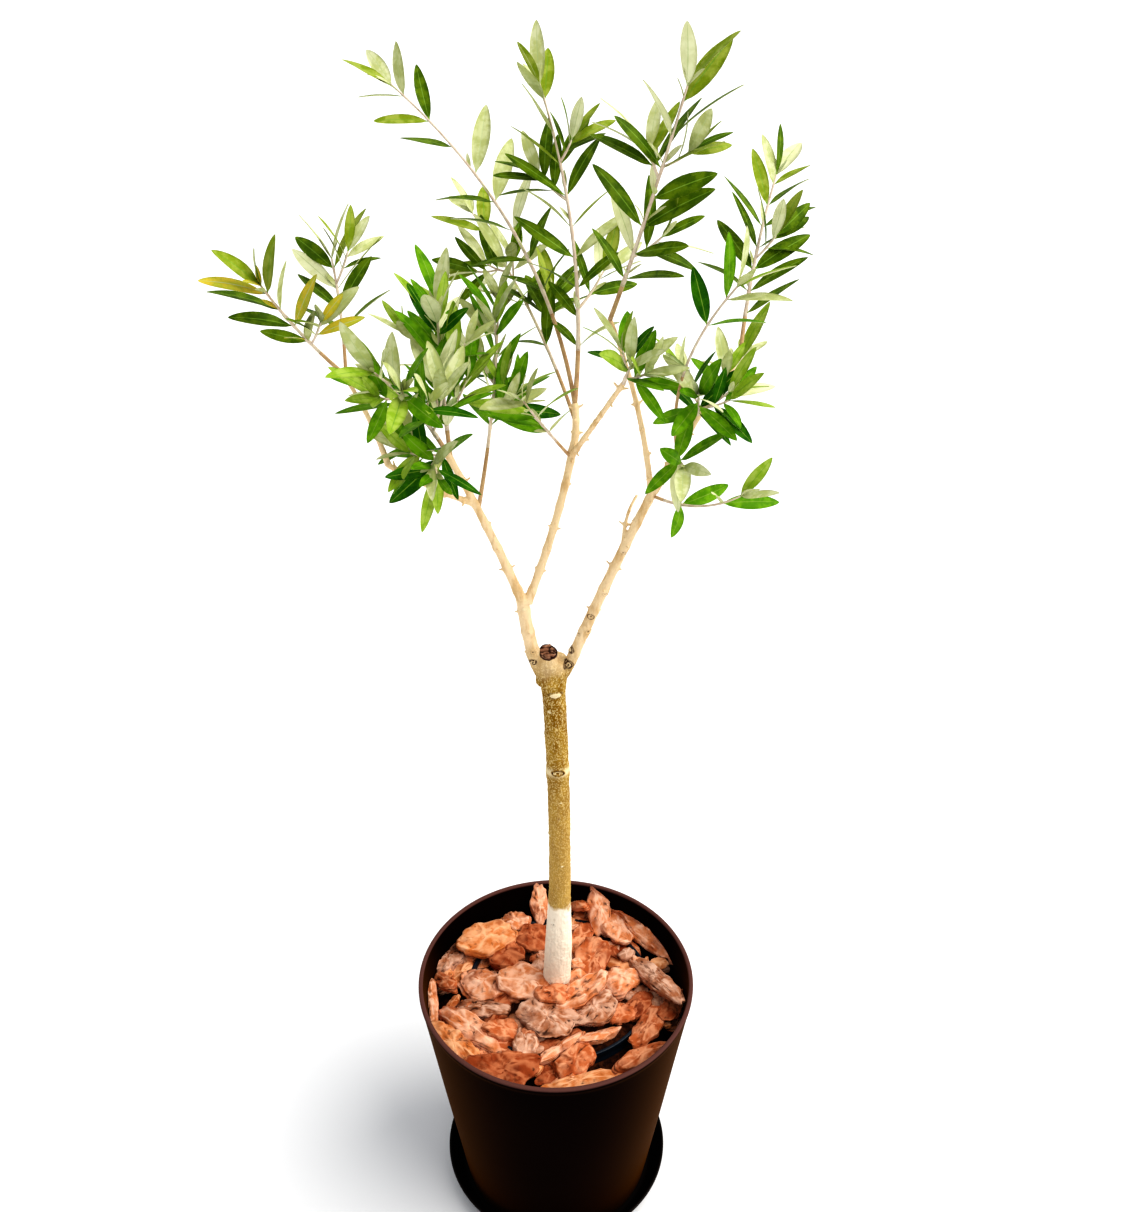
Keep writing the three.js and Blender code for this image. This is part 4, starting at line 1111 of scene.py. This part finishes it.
def add_stub(shape):
    """The sawn-off leader between the boughs, cut at a slope."""
    slope = math.tan(math.radians(STUB_SLOPE))
    turns = turns_of(STUB_SIDES)
    rings = []
    for z, grow, tilt in ((TRUNK_TOP - 22, 1.25, 0), (TRUNK_TOP - 8, 1.15, 0.3), (STUB_TOP - 5, 1.05, 0.9),
                          (STUB_TOP - 2.6, 1.0, 1), (STUB_TOP - 1.8, 0.9, 1), (STUB_TOP - 1.8, 0.02, 1)):
        x, y = STUB_R * grow * np.cos(turns), STUB_R * grow * np.sin(turns)
        rings.append(np.stack([STUB_AT[0] + x, STUB_AT[1] + y, z + y * tilt * slope], -1))
    points = np.concatenate(rings)
    shape.add(points, grid_faces(len(rings), STUB_SIDES, ring=True))
    shape.add(rings[0], [list(range(STUB_SIDES - 1, -1, -1))])
    shape.add(rings[-1], [list(range(STUB_SIDES))])


def remeshed(shape, name, voxel, smoothing):
    """One closed skin over overlapping tubes: points in mm and quads."""
    raw = make_piece(name, shape, [], None)
    remesh = raw.modifiers.new("skin", "REMESH")
    remesh.mode = "VOXEL"
    remesh.voxel_size = voxel * MM
    smooth = raw.modifiers.new("smooth", "SMOOTH")
    smooth.factor = 0.5
    smooth.iterations = smoothing
    bpy.context.view_layer.update()
    shaped = raw.evaluated_get(bpy.context.evaluated_depsgraph_get()).to_mesh()
    points = np.zeros(len(shaped.vertices) * 3, np.float32)
    shaped.vertices.foreach_get("co", points)
    normals = np.zeros(len(shaped.vertices) * 3, np.float32)
    shaped.vertices.foreach_get("normal", normals)
    faces = np.zeros(len(shaped.polygons) * 4, np.int32)
    shaped.polygons.foreach_get("vertices", faces)
    bpy.data.objects.remove(raw)
    return points.reshape(-1, 3) / MM, normals.reshape(-1, 3).astype(float), faces.reshape(-1, 4)


def mark_relief(points, normals):
    """Relief in mm, and hollow values: above 0 dark, below 0 healed and pale."""
    relief, hollow = np.zeros(len(points)), np.zeros(len(points))
    ragged = 0.16 * rough_noise(points, 3.0, 61)
    facing = smoothstep(-normals[:, 1], -0.25, 0.2)
    for x, z, wide, tall, kind in MARKS:
        away = np.hypot((points[:, 0] - x) / wide, (points[:, 2] - z) / tall) + ragged
        inside = (1 - smoothstep(away, 0.75, 1.0)) * facing
        rim = np.exp(-(((away - 1) / 0.22) ** 2)) * facing
        core = np.exp(-((away / 0.42) ** 2)) * facing
        if kind == "healed":
            relief += 0.7 * inside
            hollow += -1.0 * inside + 0.55 * rim + 0.35 * core
        elif kind == "bead":
            relief += 0.8 * inside
            hollow += -0.8 * inside
        elif kind == "eye":
            relief += 0.9 * rim - 1.0 * core
            hollow += 0.85 * rim - 0.5 * inside * (1 - core) + 0.9 * core
        elif kind == "scar":
            loops = np.sin(away * 11)
            relief += 1.1 * inside - 0.9 * (loops > 0.45) * inside
            hollow += 0.95 * (loops > 0.45) * inside + 0.7 * rim - 0.35 * inside * (loops <= 0.45)
        else:
            relief += 0.7 * rim - 0.8 * core
            hollow += 0.75 * core + 0.35 * rim
    return relief, hollow


def build_bark():
    """Trunk and boughs as one skin, with ridges, fissures, the old ring and the marks."""
    shape = Shape()
    for item in limbs.values():
        add_limb(shape, item)
    add_stub(shape)
    points, normals, faces = remeshed(shape, "bark_raw", VOXEL, 4)
    tall = points * np.array([1, 1, 0.3])
    # Full relief on the stem, a third of it on the smooth boughs
    thick = 0.35 + 0.65 * smoothstep(-points[:, 2], -TRUNK_TOP - 40, -TRUNK_TOP)
    relief = RIDGES * rough_noise(tall, 5.0, 3) * thick + GRAIN * noise(points, 2.2, 9) * thick
    fissure = rough_noise(points * np.array([1, 1, 0.18]), 3.4, 21)
    cut = smoothstep(np.abs(fissure), 0.0, 0.09)
    relief -= FISSURES * (1 - cut) * thick
    # Painted shade along the fissures, carried to the bark's colour by the hollow values
    hollow = FISSURE_SHADE * (1 - cut) * smoothstep(noise(points, 30, 5), 0.1, 0.5)
    stem = points[:, 2] < TRUNK_TOP - 20
    ring = np.exp(-(((points[:, 2] - RING_Z + 1.5 * noise(points, 9, 2)) / RING_HALF) ** 2)) * stem
    relief += 0.5 * ring
    hollow -= 0.75 * ring
    extra, marks = mark_relief(points, normals)
    above = points[:, 2] > GROUND + 20
    points = points + normals * (relief + extra * above)[:, None]
    points[:, 2] = np.maximum(points[:, 2], FOOT_Z)
    skin = Shape()
    marks = marks * above
    skin.add(points, faces, 0, np.clip(np.where(np.abs(marks) > 0.2, marks, hollow + marks), -1, 1))
    make_piece("bark", skin, [OLIVE_BARK], "trunk_bark", list(limbs))
    build_cut_face()


def build_cut_face(rings=16, around=72):
    """The sawn end of the old leader: dark, cracked end grain inside a ring of bark, with painted shade in
    its cracks, at its sunken rim and on the short wall below.
    """
    slope = math.tan(math.radians(STUB_SLOPE))
    turns = turns_of(around)
    reach = STUB_R * 0.88
    wavy = 1 + 0.05 * np.cos(2 * turns + 1) + 0.04 * np.cos(3 * turns)
    rows = []
    for k in range(rings):
        share = (k + 0.4) / (rings - 0.6)
        x, y = share * reach * wavy * np.cos(turns), share * reach * wavy * np.sin(turns)
        rows.append(np.stack([x, y, np.zeros(around)], -1))
    flat = np.concatenate(rows)
    far = np.hypot(flat[:, 0], flat[:, 1]) / reach
    crack = np.abs(rough_noise(flat * np.array([0.45, 1.6, 1]) + 11, 4.2, 77))
    split = 1 - smoothstep(crack, 0.0, 0.20)
    edge = smoothstep(far, 0.86, 1.0)
    height = 0.9 - 1.9 * split * (1 - edge) + 0.7 * noise(flat, 3.0, 4) * (1 - edge) - 1.8 * edge
    points = flat + np.array([STUB_AT[0], STUB_AT[1], STUB_TOP])
    points[:, 2] += flat[:, 1] * slope + height
    shape = Shape()
    # The hollow values are painted shade in the cracks and at the sunken rim
    shape.add(points, grid_faces(rings, around, ring=True), 0, np.clip(0.9 * split + 0.8 * edge, 0, 1))
    shape.add(points[:around], [list(range(around - 1, -1, -1))])
    below = points[-around:] - np.array([0, 0, 5])
    # The short wall under the rim is painted dark as shade
    shape.add(np.concatenate([points[-around:], below]), grid_faces(2, around, ring=True), 0,
              np.full(2 * around, 0.7))
    shape.add(below, [list(range(around))])
    make_piece("cut_face", shape, [CUT_WOOD], "trunk_bark")


# ---- Pot, saucer and inner pot ------------------------------------------------------------------------


def pot_radius(z):
    return POT_FOOT + (POT_RIM - POT_FOOT) * (z - POT_BOTTOM) / (POT_TOP - POT_BOTTOM)


def wall_profile(corners, radius, spacing):
    """Rounded corners, with more rings along the long straight stretches."""
    out = [corners[0]]
    for r, z in rounded(corners, radius)[1:]:
        before = np.array(out[-1])
        steps = int(np.linalg.norm(np.array((r, z)) - before) / spacing)
        for k in range(1, steps + 1):
            out.append(tuple(before + (np.array((r, z)) - before) * k / (steps + 1)))
        out.append((r, z))
    return out


def build_pot():
    shape = Shape()
    floor = POT_BOTTOM + 5
    turned_shape(shape, wall_profile([
        (0.5, POT_BOTTOM + 1.5), (POT_FOOT - 12, POT_BOTTOM + 1.5), (POT_FOOT - 10, POT_BOTTOM),
        (pot_radius(POT_BOTTOM), POT_BOTTOM), (pot_radius(POT_BOTTOM + 6), POT_BOTTOM + 6),
        (pot_radius(POT_TOP - 9), POT_TOP - 9), (POT_RIM, POT_TOP - 4.5), (POT_RIM, POT_TOP),
        (POT_RIM - 4.6, POT_TOP), (pot_radius(POT_TOP - 6) - 4.4, POT_TOP - 6),
        (pot_radius(floor) - POT_WALL, floor), (0.5, floor),
    ], 1.9, 9), segments=192, waver=0.15)
    make_piece("pot_shell", shape, [POT_PLASTIC], "pot_plastic", ["pot"])
    dish = Shape()
    turned_shape(dish, wall_profile([
        (0.5, 1.2), (96, 1.2), (98, 0), (112, 0), (117, 1.5), (127, 20), (SAUCER_R, 22.5),
        (SAUCER_R, SAUCER_TOP), (127.2, SAUCER_TOP), (124.4, 21), (115.6, 5.5), (113, 4), (0.5, 4),
    ], 1.4, 8), segments=192)
    make_piece("saucer_dish", dish, [SAUCER_PLASTIC], "saucer_plastic", ["saucer"])
    inner = Shape()
    band = NURSERY_TOP - 18
    x, y = NURSERY_AT
    bottom = NURSERY_LOW[2]
    turned_shape(inner, wall_profile([
        (0.5, bottom), (78, bottom), (98, band), (NURSERY_R - 1.5, band), (NURSERY_R - 1.0, band + 3),
        (NURSERY_R - 2.2, band + 6), (NURSERY_R - 2.0, NURSERY_TOP - 5), (NURSERY_R, NURSERY_TOP - 4),
        (NURSERY_R, NURSERY_TOP), (NURSERY_R - 3.4, NURSERY_TOP), (NURSERY_R - 4.2, NURSERY_TOP - 3),
        (96, band - 4), (76, bottom + 2.5), (0.5, bottom + 2.5),
    ], 1.2, 10), x, y, segments=160)
    make_piece("nursery_shell", inner, [NURSERY_PLASTIC], "nursery_plastic", ["nursery_pot"])


# ---- Soil and bark mulch ----------------------------------------------------------------------------

# The nuggets of the solid, by place, length, width, heading in degrees and lean, lowest first
nuggets = []


def nugget(x, y, length, width, turn, lean=0, tone=None, form="slab"):
    nuggets.append({"x": x, "y": y, "length": length, "width": width, "turn": turn, "lean": lean,
                    "tone": tone, "form": form})


nugget(-50, 115, 32, 28, 0, tone=0)
nugget(-20, 132, 45, 18, 95, 45, tone=0)
nugget(26, 134, 45, 17, -65, 30, tone=1)
nugget(-126, 58, 44, 34, 50, tone=4, form="rough")
nugget(-60, 60, 45, 34, -30, tone=2)
nugget(128, -20, 44, 22, 60, -10, tone=2)
nugget(-138, -12, 50, 14, 100, 10, tone=0)
nugget(-109, -66, 60, 28, -45, tone=3)
nugget(-125, 14, 46, 17, -55, 20, tone=1)
nugget(-27, 86, 36, 38, 0, tone=2)
nugget(30, 84, 46, 22, 82, tone=1)
nugget(52, 124, 62, 24, 85, 30, tone=0)
nugget(75, 105, 60, 44, -75, tone=0, form="round")
nugget(92, -14, 38, 24, 63, tone=2)
nugget(100, -44, 54, 25, 62, tone=1)
nugget(90, -82, 62, 17, 37, tone=1)
nugget(69, -27, 36, 34, 35, tone=1, form="round")
nugget(73, 18, 40, 34, 13, tone=0)
nugget(-81, -20, 52, 18, -10, tone=4, form="rough")
nugget(-56, -50, 38, 26, -25, tone=1)
nugget(-32, -66, 38, 28, 90, tone=4, form="round")
nugget(46, -59, 44, 14, 22, tone=0)
nugget(21, -89, 38, 28, 35, tone=1)
nugget(42, -29, 50, 40, 50, tone=4, form="rough")
nugget(41, 44, 66, 34, 77, tone=1)
nugget(-82, 78, 64, 44, 25, tone=3)
nugget(-80, 13, 46, 42, 0, tone=0)
nugget(-9, -42, 58, 38, -18, tone=4, form="rough")
nugget(-54, -100, 60, 36, 5, tone=2)
nugget(-93, -43, 90, 24, -40, tone=0)
nugget(26, -114, 86, 19, 16, tone=3)
nugget(6, -74, 52, 12, 35, tone=0)
nugget(-2, -14, 40, 26, 10, tone=1)
nugget(29, -8, 70, 26, 40, tone=0, form="boat")
nugget(-36, 8, 60, 54, 0, tone=0, form="round")
nugget(108, 98, 90, 30, -58, -8, tone=0)
nugget(112, 14, 108, 20, -60, 14, tone=4, form="rough")


def bed_height(x, y):
    return BED_TOP + HEAP_RISE * np.exp(-(x * x + y * y) / HEAP_SPREAD**2)


CLOSE = 0.42  # two nuggets lie on each other within this share of their widths together
STACK = 0.5  # and the upper one then rises by this share of the lower one's thickness


def settle_nuggets():
    for i, item in enumerate(nuggets):
        item["thick"] = NUGGET_THICK * (0.7 + 0.3 * min(1, item["width"] / 40))
        item["z"] = bed_height(item["x"], item["y"]) + item["thick"] * 0.2
        for under in nuggets[:i]:
            apart = math.hypot(item["x"] - under["x"], item["y"] - under["y"])
            if apart < CLOSE * (item["width"] + under["width"]):
                item["z"] = max(item["z"], under["z"] + under["thick"] * STACK)


BAND_TURN = (-74, -22)
BAND_REACH = (74, 128)
# Loose flakes: how many, the shortest, the longest and how deep they lie
FLAKES = [(80, 22, 42, 7), (60, 10, 20, 1)]


def over_band(x, y):
    """Where the inner pot's rim stays in sight, right of the front."""
    off_x, off_y = x - NURSERY_AT[0], y - NURSERY_AT[1]
    turn = math.degrees(math.atan2(off_y, off_x))
    reach = math.hypot(off_x, off_y)
    return BAND_TURN[0] < turn < BAND_TURN[1] and BAND_REACH[0] < reach < BAND_REACH[1]


def loose_flakes():
    """Flakes that fill the gaps between the nuggets, dealt out evenly round the bed."""
    roll = dice(771)
    flakes = []
    for count, low, high, drop in FLAKES:
        for k in range(count):
            far = 20 + 118 * math.sqrt((k + 0.5) / count)
            turn = math.radians(GOLDEN * k + swing(roll, 30))
            length = low + (high - low) * roll()
            item = {
                "x": far * math.cos(turn), "y": far * math.sin(turn), "length": length,
                "width": length * (0.45 + 0.35 * roll()), "turn": 360 * roll(), "lean": swing(roll, 34),
                "thick": 5 + 5 * roll(), "tone": int(roll() * 5), "form": "slab",
            }
            item["z"] = bed_height(item["x"], item["y"]) - drop + swing(roll, 5)
            if not over_band(item["x"], item["y"]):
                flakes.append(item)
    return flakes


# Terraces: bark splits in sheets, so its faces go down in steps
def sheets(height, step, sharp):
    level = np.floor(height / step)
    return (level + smoothstep(height / step - level, 0.5 - sharp, 0.5 + sharp)) * step


FULLER = 1.16  # makes up for what the cut planes take off
SHEET = 1.6  # height of a step between two sheets
SHEET_EDGE = 0.09
CRISP = {"round": 5, "boat": 7, "slab": 11, "rough": 11}  # higher gives sharper edges
ROUGH = {"round": 1.2, "boat": 0.8, "slab": 1.0, "rough": 2.0}


def chunk_planes(roll, form):
    """Cut planes of a split chunk, as normals and distances in a box of half size 1."""
    planes = [((swing(roll, 0.24), swing(roll, 0.24), 1), 0.92)]
    planes.append(((swing(roll, 0.2), swing(roll, 0.2), -1), 0.92))
    sides = {"round": 11, "boat": 9}.get(form, 6 + int(3 * roll()))
    for k in range(sides):
        turn = (k + swing(roll, 0.7)) / sides * 2 * math.pi
        planes.append(((math.cos(turn), math.sin(turn), swing(roll, 0.5)), 0.86 + 0.14 * roll()))
    for k in range(5):
        turn = (k + swing(roll, 0.9)) / 5 * 2 * math.pi
        planes.append(((0.5 * math.cos(turn), 0.5 * math.sin(turn), 0.87), 0.80 + 0.14 * roll()))
    return planes


def turning(axis, angle):
    """The matrix of a turn about one of the three axes."""
    second, third = (axis + 1) % 3, (axis + 2) % 3
    matrix = np.eye(3)
    matrix[second, second] = matrix[third, third] = math.cos(angle)
    matrix[second, third] = -math.sin(angle)
    matrix[third, second] = math.sin(angle)
    return matrix


def add_nugget(shape, item, number, around=64, over=26):
    """A split chunk of bark: facets, then sheets, creases and pits, then its place and lean."""
    roll = dice(6000 + number)
    turns = turns_of(around)
    levels = (np.arange(over) + 0.5) / over * math.pi - math.pi / 2
    turn, level = np.meshgrid(turns, levels)
    ways = np.stack([np.cos(level) * np.cos(turn), np.cos(level) * np.sin(turn), np.sin(level)], -1)
    crisp = CRISP[item["form"]]
    facets = np.stack([
        np.maximum(0, ways @ unit(np.array(normal, float))) / far
        for normal, far in chunk_planes(roll, item["form"])
    ])
    reach = (facets**crisp).sum(0) ** (-1 / crisp)
    order = np.sort(facets, axis=0)
    arris = np.exp(-(((order[-1] - order[-2]) / order[-1] / 0.10) ** 2))
    for k, size in ((2, 0.04), (3, 0.05), (5, 0.04), (7, 0.03), (9, 0.025), (13, 0.02)):
        reach = reach * (1 + size * (0.4 + 0.8 * roll()) * np.cos(k * turn + 6.3 * roll()) * np.cos(level))
    spot = ways * reach[..., None]
    x, y = FULLER * item["length"] / 2 * spot[..., 0], FULLER * item["width"] / 2 * spot[..., 1]
    z = item["thick"] / 2 * spot[..., 2]
    x = x + swing(roll, 0.5) * y
    # A slab is seldom even: it bows and tapers
    z = z * (1 + swing(roll, 0.6) * spot[..., 0] + swing(roll, 0.6) * spot[..., 1])
    z = z + swing(roll, 0.12) * item["length"] * spot[..., 0] ** 2
    edge = np.clip(np.hypot(spot[..., 0], spot[..., 1]), 0, 1)
    if item["form"] == "boat":
        z = z + (z > 0) * 4.2 * (smoothstep(edge, 0.4, 0.8) - 0.5)
    points = np.stack([x, y, z], -1).reshape(-1, 3)
    apart = points + np.array([170.0 * number, 0, 0])
    stretched = apart * np.array([0.3, 1, 1])
    rough = ROUGH[item["form"]]
    size = min(1, item["width"] / 26)
    edge, arris = edge.ravel(), arris.ravel()
    upper = smoothstep(points[:, 2], 0, item["thick"] * 0.3)
    broad = rough_noise(apart, 15, 5)
    depth = 3.2 * broad
    stepped = sheets(depth, SHEET, SHEET_EDGE)
    ridges = np.abs(rough_noise(stretched, 6.0, 14))
    pits = np.abs(rough_noise(apart, 8.0, 33))
    layers = np.sin(points[:, 2] * 2.3 + 1.6 * rough_noise(apart, 16, 3))
    shell = smoothstep(edge, 0.80, 0.97)
    crease = (1 - smoothstep(ridges, 0, 0.10)) * (1 - 0.5 * shell)
    pocked = 1 - smoothstep(pits, 0, 0.07)
    pocked = pocked * (0.25 if item["form"] != "rough" else 0.8)
    relief = stepped - 0.8 * rough * crease - 0.6 * rough * pocked + 0.7 * shell * layers
    relief = relief + 0.35 * rough * noise(apart, 2.0, 50)
    out = points / np.array([item["length"], item["width"], item["thick"] * 0.7]) ** 2
    out = out / np.maximum(1e-9, np.linalg.norm(out, axis=1))[:, None]
    points = points + out * (relief * size)[:, None]
    riser = np.abs(depth / SHEET - np.floor(depth / SHEET) - 0.5) < SHEET_EDGE
    # Painted shade in the creases, pits, step risers and layer gaps; a painted highlight, below 0, on the
    # arrises and raised tops of the upper face
    hollow = 0.45 * crease * rough / 1.4 + 0.5 * pocked * rough / 1.4 + 0.55 * riser * upper
    hollow = hollow + 0.6 * shell * (layers < -0.4) - 0.75 * arris * smoothstep(points[:, 2], -1, 1.5)
    hollow = hollow - 0.45 * smoothstep(broad, 0.25, 0.5) * upper * (1 - crease)
    if item["form"] == "boat":
        # Painted shade in the boat's dish
        inside = (1 - smoothstep(edge, 0.35, 0.65)) * (points[:, 2] > 0)
        hollow = hollow + 0.6 * inside
    lean = math.radians(-item["lean"] + swing(roll, 12))
    tip = math.radians(swing(roll, 22))
    spin = math.radians(item["turn"])
    points = points @ (turning(2, spin) @ turning(1, lean) @ turning(0, tip)).T
    lift = abs(math.sin(math.radians(item["lean"]))) * item["length"] / 2
    points = points + np.array([item["x"], item["y"], item["z"] + lift * 0.8])
    points = inside_pot(points)
    count = len(points)
    poles = np.stack([points[:around].mean(0), points[-around:].mean(0)])
    shape.add(np.concatenate([points, poles]), grid_faces(over, around, ring=True), 0,
              np.clip(np.concatenate([hollow, [0, 0]]), -1, 1))
    ring = np.arange(around)
    after = (ring + 1) % around
    low = np.stack([after, ring, np.full(around, count)], -1)
    high = np.stack([ring, after, np.full(around, count + 1 - (count - around))], -1) + count - around
    caps = np.concatenate([low, high])
    shape.faces.append(caps + shape.count - count - 2)
    shape.paint.append(np.zeros(len(caps), int))


def inside_pot(points):
    """Keeps a nugget's points clear of the outer pot's wall."""
    reach = np.hypot(points[:, 0], points[:, 1])
    room = pot_radius(np.minimum(points[:, 2], POT_TOP)) - POT_WALL - 1.2
    pull = np.minimum(1, room / np.maximum(reach, 1))
    return points * np.stack([pull, pull, np.ones(len(points))], -1)


def build_bed():
    """The crumbly bed under the nuggets, near black as painted shade in their gaps, and the soil in the
    inner pot.
    """
    rings, around = 70, 260
    turns = turns_of(around)
    rows = []
    for k in range(rings):
        share = (k + 1) / rings
        r = share * (pot_radius(250) - POT_WALL - 0.6)
        rows.append(np.stack([r * np.cos(turns), r * np.sin(turns), np.zeros(around)], -1))
    points = np.concatenate(rows)
    off = np.hypot(points[:, 0] - NURSERY_AT[0], points[:, 1] - NURSERY_AT[1])
    level = bed_height(points[:, 0], points[:, 1]) - 9
    level = level - 16 * smoothstep(off, NURSERY_R - 7, NURSERY_R - 2)
    lumps = 3.0 * np.abs(rough_noise(points, 9, 2)) + 1.6 * np.abs(noise(points, 3.5, 6))
    points[:, 2] = level + lumps
    near = np.abs(off - NURSERY_R + 1.5) < 3.4
    points[:, 2] = np.where(near, NURSERY_TOP - 16, points[:, 2])
    shape = Shape()
    faces = grid_faces(rings, around, ring=True)
    hollow = 1 - smoothstep(lumps, 0.2, 1.6)
    shape.add(points, faces, 0, hollow)
    shape.add(points[:around], [list(range(around - 1, -1, -1))])
    floor = points[-around:] * np.array([1, 1, 0]) + np.array([0, 0, BED_TOP - 30])
    skirt = np.concatenate([points[-around:], floor])
    shape.add(skirt, grid_faces(2, around, ring=True))
    shape.add(floor, [list(range(around - 1, -1, -1))])
    make_piece("mulch_bed", shape, [SHADED_MULCH], "bark_mulch")


TONES = ["salmon", "terracotta", "red_brown", "orange_brown", "tan"]


def build_mulch():
    settle_nuggets()
    build_bed()
    shapes = [Shape() for _ in TONES]
    for number, item in enumerate(nuggets):
        add_nugget(shapes[item["tone"]], item, number)
    for number, item in enumerate(loose_flakes()):
        add_nugget(shapes[item["tone"]], item, 200 + number, 36, 14)
    for name, shape, finish in zip(TONES, shapes, NUGGETS):
        make_piece(f"nuggets_{name}", shape, [finish], "bark_mulch", ["bark_mulch"])


# ---- Stage, light and camera ---------------------------------------------------------------------------


FLOOR_R = 400000
FLOOR_Z = -0.5
SKY_COLOR = (0.97, 0.98, 1.0, 1)
SKY_STRENGTH = 0.54
KEY_COLOR = (1.0, 0.97, 0.92)
CAMERA_AT = (0.0074, -0.8987, 1.2509)
CAMERA_PITCH = 28.58
CAMERA_LENS = 33.47


def stage_material():
    finish = Finish("pale_floor", (0.90, 0.905, 0.915), 0.9, 0.05)
    finish.tint((0.88, 0.885, 0.90), finish.mottle(0.6, 0.4, 0.6).outputs["Mask"], 0.5)
    return finish.material


def build_stage():
    around = 96
    turns = turns_of(around)
    floor = Shape()
    ring = np.stack([FLOOR_R * np.cos(turns), FLOOR_R * np.sin(turns), np.full(around, FLOOR_Z)], -1)
    floor.add(ring, [list(range(around))])
    make_piece("floor", floor, [stage_material()], None)


def soft_sun(name, strength, turn, height, angle, color):
    """A wide sun from a heading and height in degrees; heading 0 is the camera's side, 90 the right."""
    data = bpy.data.lights.new(name, "SUN")
    data.energy = strength
    data.angle = math.radians(angle)
    data.color = color
    lamp = bpy.data.objects.new(name, data)
    lamp.rotation_euler = (math.radians(90 - height), 0, math.radians(turn))
    bpy.context.scene.collection.objects.link(lamp)


def build_light():
    world = bpy.data.worlds.new("studio")
    bpy.context.scene.world = world
    world.use_nodes = True
    sky = world.node_tree.nodes["Background"]
    sky.inputs["Color"].default_value = SKY_COLOR
    sky.inputs["Strength"].default_value = SKY_STRENGTH
    soft_sun("key", strength=2.25, turn=78, height=50, angle=58, color=KEY_COLOR)


def build_camera():
    data = bpy.data.cameras.new("camera")
    data.sensor_fit = "VERTICAL"
    data.sensor_height = 36
    data.lens = CAMERA_LENS
    data.clip_end = 1000
    camera = bpy.data.objects.new("camera", data)
    camera.location = CAMERA_AT
    camera.rotation_euler = (math.radians(90 - CAMERA_PITCH), 0, 0)
    bpy.context.scene.collection.objects.link(camera)
    bpy.context.scene.camera = camera


def finish_soil():
    """The soil keeps its solid, with a better finish."""
    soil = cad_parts["soil"]
    soil.data.materials.clear()
    soil.data.materials.append(SOIL)


build_camera()
build_light()
build_stage()
build_pot()
build_mulch()
finish_soil()
build_bark()
build_foliage()
view = bpy.context.scene.view_settings
view.view_transform = "Standard"
view.look = "High Contrast"
